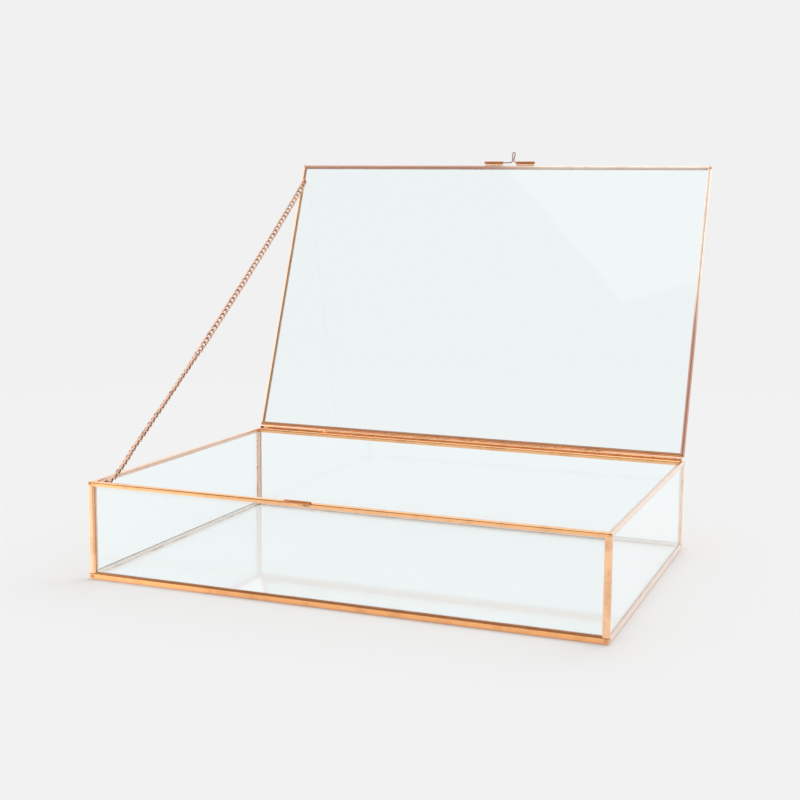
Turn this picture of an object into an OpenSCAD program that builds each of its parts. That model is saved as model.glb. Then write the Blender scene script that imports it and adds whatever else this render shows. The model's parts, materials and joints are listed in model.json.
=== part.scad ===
// Glass casket box: a shallow glass tray and a glass lid, both framed in thin
// folded metal came, with a wire hinge, a wire clasp loop and a stay chain.
// Millimetres, +Z up. The origin is the centre of the plane that the tray stands on.
// X runs along the front, and -Y is the front. The model stands with its lid open
// against the taut chain.

/* [Box] */
// Width of the tray from side to side
box_w = 300; // [200:1:400]
// Depth of the tray from front to back
box_d = 196; // [160:1:260]
// Height of the tray from its base to the top of its rim
box_h = 56; // [40:1:90]
// Thickness of the glass panes
glass_t = 2; // [1.6:0.1:3]

/* [Came] */
// Thickness of the folded metal strip
came_t = 0.45; // [0.3:0.05:0.7]
// Play between a pane and its channel, on each side
pane_play = 0.05; // [0.03:0.01:0.15]
// How far the corner came laps over the edge of a pane
corner_lap = 0.85; // [0.6:0.05:2]
// Thickness of the metal between the two channels of the corner came
corner_neck = 0.4; // [0.3:0.05:1]
// How far the rim channel laps over the top edge of a pane
rim_lap = 2.2; // [1.6:0.1:4]
// How far the lid channel laps over the edge of the lid pane
lid_lap = 2; // [1.2:0.1:4]
// Width of the chamfer on the outer edges of the came
came_chamfer = 0.25; // [0.1:0.05:0.3]

/* [Solder] */
// How far a soldered corner reaches past the came it joins
solder_reach = 0.6; // [0.3:0.1:1.5]
// How far a soldered corner stands proud of the came
solder_proud = 0.2; // [0.1:0.05:0.4]

/* [Lid] */
// Inset of the lid from the sides and the front of the tray
lid_inset = 1; // [0.5:0.1:1.5]
// Gap between the closed lid and the rim
lid_gap = 0.3; // [0.2:0.05:0.6]
// Angle that the lid opens through until the chain is taut
lid_open = 110.5; // [95:0.5:120]

/* [Hinge] */
// Diameter of the hinge wire
hinge_wire_d = 1.2; // [0.8:0.1:1.6]
// Clearance around the hinge wire in its tubes, on the radius
hinge_fit = 0.05; // [0.02:0.01:0.1]
// Wall of the hinge tubes
hinge_wall = 0.5; // [0.3:0.05:0.8]
// Gap between the hinge tubes and the back of the box
hinge_gap = 0.45; // [0.3:0.05:1]
// Length of each of the two tubes on the tray
hinge_knuckle_l = 45; // [20:1:80]
// Gap between neighbouring hinge tubes
hinge_end_gap = 0.4; // [0.2:0.1:1]
// Gap between the outer ends of the hinge tubes and the soldered corners
hinge_corner_gap = 0.6; // [0.3:0.1:8]
// How far the hinge wire stands out of its tubes
hinge_wire_out = 0.4; // [0.2:0.1:1]

/* [Clasp] */
// Diameter of the clasp wire
clasp_wire_d = 0.8; // [0.6:0.1:0.9]
// Clearance around the clasp wire in its tubes, on the radius
clasp_fit = 0.08; // [0.03:0.01:0.1]
// Wall of the clasp tubes
clasp_wall = 0.47; // [0.3:0.01:0.6]
// Length of each clasp tube
clasp_tube_l = 13.5; // [8:0.5:14.5]
// Gap between the two clasp tubes
clasp_tube_gap = 9.3; // [9:0.1:16]
// Distance of the clasp's middle from the middle of the box
clasp_x = 9.2; // [8.4:0.1:30]
// Distance of the clasp wire from the free edge of the lid
clasp_stand = 2; // [1.9:0.1:3]
// Height of the clasp wire above the underside of the lid
clasp_rise = 0.45; // [0.3:0.05:1]
// Width of the loop between the centres of its legs
loop_w = 2; // [1.8:0.1:3]
// Height of the loop above the clasp wire's axis
loop_h = 8.7; // [6:0.1:14]
// Distance of the loop from the middle between the clasp tubes
loop_shift = 2.2; // [0:0.1:2.2]
// Radius of the bends at the foot of the loop
loop_bend = 0.8; // [0.6:0.05:1]
// Outer diameter of the keeper tube on the front rim
keeper_d = 1.8; // [1.4:0.1:2]
// Bore of the keeper tube
keeper_bore = 1; // [0.6:0.1:1.1]
// Length of the keeper tube
keeper_l = 15.3; // [8:0.1:16]
// Metal of the rim that is left behind the keeper tube where it is let in
keeper_skin = 0.05; // [0.04:0.01:0.2]
// Height of the keeper's middle above the top of the rim
keeper_rise = 0.15; // [0:0.05:0.4]
// Distance of the keeper's middle to the left of the middle of the box
keeper_x = 18.8; // [18.8:0.1:40]

/* [Chain] */
// Diameter of the wire of a chain link
link_wire_d = 0.9; // [0.6:0.05:0.9]
// Outer width of a chain link
link_w = 3.4; // [3.4:0.05:3.5]
// Number of links in the chain
link_count = 74; // [60:2:76]
// Play between two linked wires
link_play = 0.2; // [0.1:0.05:0.3]
// Turn of the links about the chain, to either side of upright
link_roll = 30; // [30:1:32]
// Distance between the planes in which the two halves of the chain swing
chain_plane_gap = 2.4; // [2.4:0.1:3]
// Diameter of the wire of the two chain eyes
eye_wire_d = 0.8; // [0.6:0.05:0.8]
// Play between an eye and the wire of the link in it
eye_play = 0.25; // [0.2:0.05:0.3]
// Distance of the tray's eye from the front of the tray
tray_eye_front = 9.1; // [8:0.1:20]
// Height of the tray's eye above the lower edge of the rim channel
tray_eye_rise = 0.4; // [0.4:0.05:0.8]
// Distance of the lid's eye from the free edge of the lid
lid_eye_front = 13; // [11:0.1:24]
// Depth of the lid's eye below the underside of the lid
lid_eye_drop = 1.15; // [1.1:0.05:1.4]
// Distance of the lid's eye from the inner face of the side rim
lid_eye_in = 2.2; // [2.1:0.1:4]

/* [Hidden] */
$fn = 48;
copper = "#d99a6c";
dark_copper = "#b87a50";
solder_tint = "#c98a60";
glass_tint = [0.85, 0.93, 0.94, 0.35];
// Reach of the cuts that run out of a piece
far = 20;
// Clearance between the keeper tube and its groove
keeper_seat = 0.02;
// Distance that the hinge's webs keep from the edges of the rim and the lid
web_inset = 0.1;
// Radius of the arc that rounds off a soldered corner, as a share of its width
corner_round = 1.3;
// How much thinner than its ring an eye's leg is, so that their surfaces cross
leg_thinning = 0.1;
// Thickness of the foot that carries the lid's eye, and its margin around the leg
foot_t = 0.6;
foot_margin = 0.25;
// Distance of the clasp wire's ends from the outer ends of the clasp tubes
clasp_wire_inset = 2;
// How much nearer to its axis a clasp tube's web stops than its wall
clasp_web_inset = 0.38;

// Came sections, measured inward from the outer faces
slot = glass_t + 2 * pane_play;
channel_in = came_t + slot;
pane_start = channel_in + corner_neck;
pane_inset = pane_start + pane_play;
corner_leg = pane_start + corner_lap;
channel_w = slot + 2 * came_t;
edge_inset = came_t + pane_play;
rim_depth = edge_inset + rim_lap;
lid_face = edge_inset + lid_lap;
joint_w = corner_leg + solder_reach;
rim_joint_h = rim_depth + solder_reach;
lid_joint_w = lid_face + solder_reach;
lid_solder_proud = solder_proud / 2;

// Lid, hinge and clasp
hinge_bore_r = hinge_wire_d / 2 + hinge_fit;
hinge_r = hinge_bore_r + hinge_wall;
hinge_y = box_d / 2 + hinge_gap + hinge_r;
hinge_z = box_h + lid_gap / 2;
hinge_end = box_w / 2 - joint_w - hinge_corner_gap;
hinge_split = hinge_end - hinge_knuckle_l;
lid_w = box_w - 2 * lid_inset;
lid_front = -box_d / 2 + lid_inset;
lid_d = box_d / 2 - lid_front;
lid_z = box_h + lid_gap;
clasp_bore_r = clasp_wire_d / 2 + clasp_fit;
clasp_r = clasp_bore_r + clasp_wall;
clasp_y = lid_front - clasp_stand;
clasp_z = lid_z + clasp_rise;
loop_x = clasp_x + loop_shift;
keeper_y = -box_d / 2 + came_t - keeper_skin - keeper_d / 2;
keeper_z = box_h + keeper_rise;

// Chain: two straight halves from an eye each, that meet at the middle link
link_r = (link_w - link_wire_d) / 2;
eye_r = link_wire_d / 2 + eye_play + eye_wire_d / 2;
eye_leg_d = eye_wire_d - leg_thinning;
link_overlap = link_wire_d + link_play;
rim_in_x = box_w / 2 - channel_w;
upper_x = -(rim_in_x - lid_eye_in);
lower_x = upper_x + chain_plane_gap;
tray_eye = [-box_d / 2 + tray_eye_front, box_h - rim_depth + tray_eye_rise];
lid_eye_closed = [lid_front + lid_eye_front, lid_z - lid_eye_drop];
function turned(p, a) = [p.x * cos(a) - p.y * sin(a), p.x * sin(a) + p.y * cos(a)];
hinge_axis = [hinge_y, hinge_z];
lid_eye = hinge_axis + turned(lid_eye_closed - hinge_axis, -lid_open);
chain_run = lid_eye - tray_eye;
chain_l = norm(chain_run);
chain_rise = atan2(chain_run.y, chain_run.x);
link_pitch = (chain_l - link_overlap) / link_count;

// ---- Building blocks ----

// A box from one corner to the opposite one
module span(a, b) {
    translate(a) cube(b - a);
}

// A box centred on the Z axis, from height z0 to z1
module centred(w, d, z0, z1) {
    span([-w / 2, -d / 2, z0], [w / 2, d / 2, z1]);
}

// A rod along X between two places, at the given Y and Z
module rod_x(x0, x1, y, z, r) {
    translate([x0, y, z]) rotate([0, 90, 0]) cylinder(r = r, h = x1 - x0);
}

// The triangle that a chamfer takes off a corner at the origin
module chamfer_2d(c) {
    polygon([[-1, -1], [c + 1, -1], [-1, c + 1]]);
}

// Section of the corner came: two channels at a right angle, corner at the origin
module corner_came_2d() {
    difference() {
        square(corner_leg);
        translate([pane_start, came_t]) square([far, slot]);
        translate([came_t, pane_start]) square([slot, far]);
        chamfer_2d(came_chamfer);
    }
}

// Section of an edge channel that opens downward, with its top at the origin's height
module channel_2d(depth) {
    difference() {
        translate([0, -depth]) square([channel_w, depth]);
        translate([came_t, -depth - far]) square([slot, depth + far - came_t]);
        mirror([0, 1]) chamfer_2d(came_chamfer);
        translate([channel_w, 0]) mirror([1, 0]) mirror([0, 1]) chamfer_2d(came_chamfer);
    }
}

// A rim channel of length l along X, centred, outer face at y = 0 and top at z = 0
module rim_channel(l) {
    translate([-l / 2, 0, 0]) rotate([90, 0, 90]) linear_extrude(l) channel_2d(rim_depth);
}

// A lid channel of length l along X, centred, free edge at y = 0 and underside at z = 0
module lid_channel(l) {
    translate([-l / 2, 0, 0]) rotate([0, 90, 0]) linear_extrude(l) rotate(180) channel_2d(lid_face);
}

// Puts a child that is drawn at the front left corner at one of the four corners
module at_corner(right, back) {
    mirror([right, 0, 0]) mirror([0, back, 0]) translate([-box_w / 2, -box_d / 2, 0]) children();
}

// Puts a child on the lid, which is drawn closed and then swung open about the hinge
module on_lid() {
    translate([0, hinge_y, hinge_z]) rotate([-lid_open, 0, 0])
        translate([0, -hinge_y, -hinge_z]) children();
}

// ---- Tray ----

module bottom_glass() {
    color(glass_tint)
        centred(box_w - 2 * pane_inset, box_d - 2 * pane_inset, edge_inset, edge_inset + glass_t);
}

// An upright pane at the front or the back
module long_pane() {
    color(glass_tint) translate([0, -box_d / 2 + edge_inset, 0])
        span([-box_w / 2 + pane_inset, 0, pane_inset], [box_w / 2 - pane_inset, glass_t, box_h - edge_inset]);
}

// An upright pane at the left or the right
module side_pane() {
    color(glass_tint) translate([-box_w / 2 + edge_inset, 0, 0])
        span([0, -box_d / 2 + pane_inset, pane_inset], [glass_t, box_d / 2 - pane_inset, box_h - edge_inset]);
}

// Corner came that runs around the base, with channels for the bottom and the upright panes
module bottom_frame() {
    c = came_chamfer;
    color(copper) difference() {
        centred(box_w, box_d, 0, corner_leg);
        centred(box_w - 2 * corner_leg, box_d - 2 * corner_leg, -1, corner_leg + 1);
        centred(box_w - 2 * pane_start, box_d - 2 * pane_start, came_t, came_t + slot);
        difference() {
            centred(box_w - 2 * came_t, box_d - 2 * came_t, pane_start, corner_leg + 1);
            centred(box_w - 2 * channel_in, box_d - 2 * channel_in, 0, corner_leg + 2);
        }
        for (side = [0, 1]) {
            mirror([0, side, 0]) translate([-box_w / 2 - 1, -box_d / 2, 0]) rotate([90, 0, 90])
                linear_extrude(box_w + 2) chamfer_2d(c);
            mirror([side, 0, 0]) translate([-box_w / 2, box_d / 2 + 1, 0]) rotate([90, 0, 0])
                linear_extrude(box_d + 2) chamfer_2d(c);
            for (back = [0, 1])
                at_corner(side, back) translate([0, 0, -1]) linear_extrude(far) chamfer_2d(c);
        }
    }
}

// Upright corner came between the two soldered joints of a corner
module corner_post(right, back) {
    color(copper) at_corner(right, back) translate([0, 0, joint_w])
        linear_extrude(box_h - rim_joint_h - joint_w) corner_came_2d();
}

// Room that the two upright panes of the front left corner take in a soldered joint
module corner_pane_room(z0, z1) {
    span([pane_start, came_t, z0], [far, channel_in, z1]);
    span([came_t, pane_start, z0], [channel_in, far, z1]);
}

// Soldered joint of one corner between two heights, with its outer edge rounded off
module corner_joint(z0, z1, pane_z0, pane_z1) {
    difference() {
        intersection() {
            span([-solder_proud, -solder_proud, z0], [joint_w, joint_w, z1]);
            translate([joint_w, joint_w, z0 - 1])
                cylinder(r = corner_round * (joint_w + solder_proud), h = z1 - z0 + 2);
        }
        corner_pane_room(pane_z0, pane_z1);
    }
}

module solder_bottom_corners() {
    color(solder_tint) for (right = [0, 1], back = [0, 1])
        at_corner(right, back) corner_joint(corner_leg, joint_w, 0, far);
}

module solder_rim_corners() {
    color(solder_tint) for (right = [0, 1], back = [0, 1])
        at_corner(right, back) corner_joint(box_h - rim_joint_h, box_h, box_h - far, box_h - came_t);
}

module rim_long() {
    translate([0, -box_d / 2, box_h]) rim_channel(box_w - 2 * joint_w);
}

// The front rim has a groove in its outer edge that the keeper tube lies in
module rim_front() {
    color(copper) difference() {
        rim_long();
        keeper_rod(keeper_d / 2 + keeper_seat, keeper_l + 2 * keeper_seat);
    }
}

module rim_back() {
    color(copper) mirror([0, 1, 0]) rim_long();
}

module rim_left() {
    color(copper) translate([-box_w / 2, 0, box_h]) rotate([0, 0, -90]) rim_channel(box_d - 2 * joint_w);
}

module rim_right() {
    color(copper) mirror([1, 0, 0]) rim_left();
}

// A rod on the keeper's axis
module keeper_rod(r, l) {
    rod_x(-keeper_x - l / 2, -keeper_x + l / 2, keeper_y, keeper_z, r);
}

module keeper_tube() {
    color(dark_copper) difference() {
        keeper_rod(keeper_d / 2, keeper_l);
        keeper_rod(keeper_bore / 2, keeper_l + 2);
    }
}

// A wire eye about the X axis at the origin, with its leg running along X at one side
module chain_eye(leg_from, leg_side) {
    rotate([0, 90, 0]) rotate_extrude() translate([eye_r, 0]) circle(d = eye_wire_d);
    rod_x(leg_from, 0, leg_side * eye_r, 0, eye_leg_d / 2);
}

module tray_chain_eye() {
    color(dark_copper) translate([lower_x, tray_eye.x, tray_eye.y]) chain_eye(-rim_in_x - lower_x, -1);
}

// ---- Hinge ----

// A tube on the hinge's axis between two places along X
module hinge_tube(x0, x1) {
    difference() {
        union() {
            rod_x(x0, x1, hinge_y, hinge_z, hinge_r);
            children();
        }
        rod_x(x0 - 1, x1 + 1, hinge_y, hinge_z, hinge_bore_r);
    }
}

module hinge_tube_left() {
    color(dark_copper) hinge_tube(-hinge_end, -hinge_split)
        span([-hinge_end, box_d / 2, box_h - hinge_r], [-hinge_split, hinge_y, box_h - web_inset]);
}

module hinge_tube_right() {
    color(dark_copper) mirror([1, 0, 0]) hinge_tube_left();
}

module hinge_wire() {
    wire_end = hinge_end + hinge_wire_out;
    color(copper) rod_x(-wire_end, wire_end, hinge_y, hinge_z, hinge_wire_d / 2);
}

module hinge_tube_lid() {
    x = hinge_split - hinge_end_gap;
    color(dark_copper) on_lid() hinge_tube(-x, x)
        span([-x, box_d / 2, lid_z + web_inset], [x, hinge_y, lid_z + hinge_r - web_inset]);
}

// ---- Lid ----

module lid_glass() {
    inset = edge_inset;
    color(glass_tint) on_lid()
        span([-lid_w / 2 + inset, lid_front + inset, lid_z + inset],
             [lid_w / 2 - inset, box_d / 2 - inset, lid_z + inset + glass_t]);
}

module lid_rail_front() {
    color(copper) on_lid() translate([0, lid_front, lid_z]) lid_channel(lid_w - 2 * lid_joint_w);
}

module lid_rail_back() {
    color(copper) on_lid() translate([0, box_d / 2, lid_z]) rotate([0, 0, 180]) lid_channel(lid_w - 2 * lid_joint_w);
}

module lid_rail_left() {
    color(copper) on_lid() translate([-lid_w / 2, (lid_front + box_d / 2) / 2, lid_z]) rotate([0, 0, -90])
        lid_channel(lid_d - 2 * lid_joint_w);
}

module lid_rail_right() {
    color(copper) mirror([1, 0, 0]) lid_rail_left();
}

// Soldered corner of the lid, drawn with its outer corner at the origin
module lid_joint() {
    difference() {
        intersection() {
            span([-lid_solder_proud, -lid_solder_proud, 0], [lid_joint_w, lid_joint_w, channel_w]);
            translate([lid_joint_w, lid_joint_w, -1]) cylinder(r = corner_round * lid_joint_w, h = channel_w + 2);
        }
        span([came_t, came_t, came_t], [far, far, came_t + slot]);
    }
}

module solder_lid_corners() {
    color(solder_tint) on_lid() for (right = [0, 1]) mirror([right, 0, 0]) {
        translate([-lid_w / 2, lid_front, lid_z]) lid_joint();
        translate([-lid_w / 2, box_d / 2, lid_z]) mirror([0, 1, 0]) lid_joint();
    }
}

// ---- Clasp ----

// A clasp tube from x0, with the solder that holds it off the lid's free edge
module clasp_tube(x0) {
    x1 = x0 + clasp_tube_l;
    web = clasp_r - clasp_web_inset;
    color(dark_copper) on_lid() difference() {
        union() {
            rod_x(x0, x1, clasp_y, clasp_z, clasp_r);
            span([x0, clasp_y, max(clasp_z - web, lid_z)], [x1, lid_front, clasp_z + web]);
        }
        rod_x(x0 - 1, x1 + 1, clasp_y, clasp_z, clasp_bore_r);
    }
}

module clasp_tube_left() {
    clasp_tube(clasp_x - clasp_tube_gap / 2 - clasp_tube_l);
}

module clasp_tube_right() {
    clasp_tube(clasp_x + clasp_tube_gap / 2);
}

// An arc of the clasp wire in the XY plane, about the origin, from one angle on
module wire_arc(r, from, sweep) {
    rotate([0, 0, from]) rotate_extrude(angle = sweep) translate([r, 0]) circle(d = clasp_wire_d);
}

// Half of the loop, from the middle of its top to its end in a tube at distance reach
module half_loop(reach) {
    leg_top = loop_h - clasp_wire_d / 2 - loop_w / 2;
    translate([0, leg_top, 0]) wire_arc(loop_w / 2, 0, 90);
    translate([loop_w / 2, loop_bend, 0]) rotate([-90, 0, 0]) cylinder(d = clasp_wire_d, h = leg_top - loop_bend);
    translate([loop_w / 2 + loop_bend, loop_bend, 0]) wire_arc(loop_bend, 180, 90);
    rod_x(loop_w / 2 + loop_bend, reach, 0, 0, clasp_wire_d / 2);
}

// The wire loop points away from the hinge, in the plane of the lid
module clasp_loop() {
    tube_end = clasp_tube_gap / 2 + clasp_tube_l - clasp_wire_inset;
    color(copper) on_lid() translate([loop_x, clasp_y, clasp_z]) mirror([0, 1, 0]) {
        half_loop(tube_end - loop_shift);
        mirror([1, 0, 0]) half_loop(tube_end + loop_shift);
    }
}

module lid_chain_eye() {
    foot_x = -lid_w / 2 + lid_face;
    foot_half = eye_leg_d / 2 + foot_margin;
    color(dark_copper) on_lid() translate([upper_x, lid_eye_closed.x, lid_eye_closed.y]) {
        chain_eye(foot_x - upper_x + foot_t / 2, -1);
        span([foot_x - upper_x, -eye_r - foot_half, -foot_half],
             [foot_x - upper_x + foot_t, -eye_r + foot_half, lid_eye_drop + came_t]);
    }
}

// ---- Chain ----

// One oval link along X, from its first wire centre at the origin, lying in the XY plane
module link() {
    straight = link_pitch + link_overlap - 2 * link_r;
    translate([link_r, 0, 0]) {
        link_bend(90);
        for (side = [-1, 1])
            rod_x(0, straight, side * link_r, 0, link_wire_d / 2);
        translate([straight, 0, 0]) link_bend(-90);
    }
}

// The round end of a link
module link_bend(from) {
    rotate([0, 0, from]) rotate_extrude(angle = 180) translate([link_r, 0]) circle(d = link_wire_d);
}

// Links first to last of the chain, counted from the tray's eye, in the plane at x
module chain_half(x, first, last) {
    color(copper) translate([x, tray_eye.x, tray_eye.y]) rotate([0, 0, 90]) rotate([0, -chain_rise, 0])
        for (i = [first : last]) {
            at_eye = i == 0 || i == link_count - 1;
            roll = at_eye ? 0 : (i % 2 == 0 ? 90 - link_roll : 90 + link_roll);
            translate([i * link_pitch, 0, 0]) rotate([roll, 0, 0]) link();
        }
}

module chain_lower() {
    chain_half(lower_x, 0, link_count / 2 - 1);
}

module chain_upper() {
    chain_half(upper_x, link_count / 2, link_count - 1);
}

bottom_glass();
long_pane();  // front_glass
mirror([0, 1, 0]) long_pane();  // back_glass
side_pane();  // left_glass
mirror([1, 0, 0]) side_pane();  // right_glass
bottom_frame();
corner_post(0, 0);  // post_front_left
corner_post(1, 0);  // post_front_right
corner_post(0, 1);  // post_back_left
corner_post(1, 1);  // post_back_right
rim_front();
rim_back();
rim_left();
rim_right();
solder_bottom_corners();
solder_rim_corners();
keeper_tube();
tray_chain_eye();
hinge_tube_left();
hinge_tube_right();
hinge_wire();
lid_glass();
lid_rail_front();
lid_rail_back();
lid_rail_left();
lid_rail_right();
solder_lid_corners();
hinge_tube_lid();
clasp_tube_left();
clasp_tube_right();
lid_chain_eye();
clasp_loop();
chain_lower();
chain_upper();
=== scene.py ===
"""Looks of the glass casket box: clear panes in folded came, solder, hinge, clasp and chain.

The world is in metres, +Z up, with the front at -Y. Pieces are modelled in millimetres and
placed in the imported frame, which gives the sizes and places of all that they replace.
"""

import json
import logging
import math
import random
from collections.abc import Callable, Iterable
from dataclasses import dataclass, field, replace
from enum import Enum

import bmesh
import bpy
from mathutils import Euler, Matrix, Vector


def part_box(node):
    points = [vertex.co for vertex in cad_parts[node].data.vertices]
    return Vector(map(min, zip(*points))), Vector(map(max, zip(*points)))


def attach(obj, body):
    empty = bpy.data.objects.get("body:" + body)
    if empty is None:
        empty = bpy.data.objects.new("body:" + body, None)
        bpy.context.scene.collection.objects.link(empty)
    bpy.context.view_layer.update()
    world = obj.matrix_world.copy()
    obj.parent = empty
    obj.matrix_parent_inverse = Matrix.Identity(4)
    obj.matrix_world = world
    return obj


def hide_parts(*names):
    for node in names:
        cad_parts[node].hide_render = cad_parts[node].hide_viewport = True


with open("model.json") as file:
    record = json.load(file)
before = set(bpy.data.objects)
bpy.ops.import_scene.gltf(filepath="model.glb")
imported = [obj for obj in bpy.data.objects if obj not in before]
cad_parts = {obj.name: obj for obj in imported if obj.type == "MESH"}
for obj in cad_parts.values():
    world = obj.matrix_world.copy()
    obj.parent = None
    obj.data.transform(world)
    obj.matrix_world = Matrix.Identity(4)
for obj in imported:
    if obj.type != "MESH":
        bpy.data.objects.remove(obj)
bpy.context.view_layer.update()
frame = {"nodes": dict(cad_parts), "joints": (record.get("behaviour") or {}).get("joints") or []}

LOG = logging.getLogger("casket")

# One millimetre, in metres.
MM = 0.001
# Two places that are closer than this, in millimetres, are one.
NEAR = 0.001
# How close to a vertex a cut may pass without making a new one, in millimetres.
CUT_TOLERANCE = 0.0001
# Edges sharper than this are rounded.
SHARP = math.radians(60)
# Edges up to these angles, in degrees, are shaded smooth.
SMOOTH_CAME = 40.0
SMOOTH_LIPS = 12.0
SMOOTH_SOLDER = 60.0
SMOOTH_LINKS = 80.0
# The mesh attribute that says how far painted shade darkens the plating at a vertex, from 0 to 1.
PAINTED_SHADE = "painted_shade"

Color = tuple[float, float, float, float]
Triple = tuple[float, float, float]


class Pick(Enum):
    """What a selection in edit mode is made of."""

    VERTS = "VERT"
    EDGES = "EDGE"
    FACES = "FACE"


class Body(Enum):
    """The moving bodies of the box."""

    TRAY = "tray"
    LID = "lid"
    LOOP = "clasp_loop"
    CHAIN_LOWER = "chain_lower"
    CHAIN_UPPER = "chain_upper"


class Slot(Enum):
    """The record's material slots."""

    GLASS = "clear_glass"
    CAME = "rose_gold_came"
    SOLDER = "solder"
    FITTINGS = "fittings"
    CHAIN = "chain_metal"


class Push(Enum):
    """The way in which unevenness moves a surface."""

    INWARD = "NORMAL"
    UP_X = "X"
    UP_Y = "Y"


class Mitre(Enum):
    """How the ends of a bar of came are cut."""

    STRAIGHT = "straight"
    ACROSS = "slanting across the bar"
    DEPTH = "slanting with its depth"


class Way(Enum):
    """The six directions of the box, as signed axes."""

    RIGHT = "+X"
    LEFT = "-X"
    BACK = "+Y"
    FRONT = "-Y"
    UP = "+Z"
    DOWN = "-Z"

    @property
    def axis(self) -> int:
        """Number of its axis."""
        return "XYZ".index(self.value[1])

    @property
    def sign(self) -> int:
        """1 if it points up its axis and -1 if down."""
        return 1 if self.value[0] == "+" else -1


class Side(Enum):
    """The four sides of the box."""

    FRONT = "front"
    BACK = "back"
    LEFT = "left"
    RIGHT = "right"

    @property
    def inward(self) -> Way:
        """Direction from this side into the box."""
        return {"front": Way.BACK, "back": Way.FRONT, "left": Way.RIGHT, "right": Way.LEFT}[self.value]

    @property
    def along(self) -> Way:
        """Direction that this side runs in."""
        return Way.RIGHT if self in (Side.FRONT, Side.BACK) else Way.BACK


# ---- Bench: short names for the modelling tools ----


def deselect() -> None:
    """Leave edit mode and select nothing."""
    if bpy.context.object and bpy.context.object.mode != "OBJECT":
        bpy.ops.object.mode_set(mode="OBJECT")
    bpy.ops.object.select_all(action="DESELECT")


def hold(piece: bpy.types.Object) -> None:
    """Make a piece the only selected and the active one.

    Args:
        piece: The piece.
    """
    deselect()
    piece.select_set(True)
    bpy.context.view_layer.objects.active = piece


def open_up(piece: bpy.types.Object) -> bpy.types.Object:
    """Open a piece in edit mode, all selected.

    Args:
        piece: The piece.

    Returns:
        The piece.
    """
    hold(piece)
    bpy.ops.object.mode_set(mode="EDIT")
    bpy.ops.mesh.select_all(action="SELECT")
    return piece


def named(name: str) -> bpy.types.Object:
    """Name the piece that was just made, and its mesh.

    Args:
        name: The name.

    Returns:
        The piece.
    """
    piece = bpy.context.object
    piece.name = name
    piece.data.name = name
    return piece


def copy_of(piece: bpy.types.Object) -> bpy.types.Object:
    """Copy a piece, with a mesh of its own.

    Args:
        piece: The piece.

    Returns:
        The copy, in the scene.
    """
    copy = piece.copy()
    copy.data = piece.data.copy()
    bpy.context.scene.collection.objects.link(copy)
    return copy


def pick(piece: bpy.types.Object, kind: Pick, test: Callable[[Vector], bool]) -> None:
    """Select the elements of a piece in edit mode whose vertices all pass a test.

    Args:
        piece: The piece that is open in edit mode.
        kind: Whether vertices, edges or faces are picked.
        test: Says of a vertex's place whether it belongs to the selection.
    """
    bpy.ops.mesh.select_all(action="DESELECT")
    bpy.ops.mesh.select_mode(type=kind.value)
    mesh = bmesh.from_edit_mesh(piece.data)
    if kind is Pick.VERTS:
        for vert in mesh.verts:
            vert.select_set(test(vert.co))
    else:
        elements = mesh.edges if kind is Pick.EDGES else mesh.faces
        for element in elements:
            if all(test(vert.co) for vert in element.verts):
                element.select_set(True)
    bmesh.update_edit_mesh(piece.data)


def cut(point: Triple, normal: Triple, clear: bool = False) -> None:
    """Cut the piece in edit mode by a plane.

    Args:
        point: A point of the plane.
        normal: The plane's normal.
        clear: Whether the side that the normal points to is cut away and the cut closed.
    """
    bpy.ops.mesh.select_all(action="SELECT")
    bpy.ops.mesh.bisect(
        plane_co=point, plane_no=normal, threshold=CUT_TOLERANCE, clear_outer=clear, use_fill=clear
    )


def modify(piece: bpy.types.Object, kind: str, **settings: object) -> None:
    """Add a modifier with its settings to a piece and apply it.

    Args:
        piece: The piece.
        kind: The modifier's type name.
        settings: Its properties.
    """
    hold(piece)
    modifier = piece.modifiers.new(kind.title(), kind)
    for name, value in settings.items():
        setattr(modifier, name, value)
    bpy.ops.object.modifier_apply(modifier=modifier.name)


def roughen(piece: bpy.types.Object, depth: float, size: float, push: Push = Push.INWARD) -> None:
    """Give a piece the uneven surface of hand work.

    Args:
        piece: The piece, modelled in millimetres.
        depth: Greatest depth of the unevenness.
        size: Size of the bumps and hollows.
        push: The way in which it moves the surface.
    """
    texture = bpy.data.textures.new(piece.name + "_hand", "CLOUDS")
    texture.noise_scale = size
    texture.noise_depth = 1
    modify(
        piece,
        "DISPLACE",
        texture=texture,
        texture_coords="LOCAL",
        direction=push.value,
        strength=depth,
        mid_level=1.0 if push is Push.INWARD else 0.0,
    )
    bpy.data.textures.remove(texture)


def place(piece: bpy.types.Object, matrix: Matrix) -> bpy.types.Object:
    """Move a piece from its own millimetres to its place in the world, in its mesh.

    Args:
        piece: The piece.
        matrix: From its own millimetres to the world.

    Returns:
        The piece, with its object at the origin.
    """
    deselect()
    piece.data.transform(matrix @ piece.matrix_world)
    piece.matrix_world = Matrix.Identity(4)
    open_up(piece)
    bpy.ops.mesh.normals_make_consistent(inside=False)
    bpy.ops.object.mode_set(mode="OBJECT")
    return piece


def join(pieces: list[bpy.types.Object], name: str) -> bpy.types.Object:
    """Join pieces into one mesh under a new name.

    Args:
        pieces: The pieces.
        name: The new name.

    Returns:
        The one piece.
    """
    hold(pieces[0])
    for piece in pieces:
        piece.select_set(True)
    bpy.ops.object.join()
    return named(name)


def scaled_to_world(turn: Matrix | None = None) -> Matrix:
    """Matrix from millimetres to metres, followed by a turn in the world."""
    return (turn or Matrix.Identity(4)) @ Matrix.Scale(MM, 4)


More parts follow.
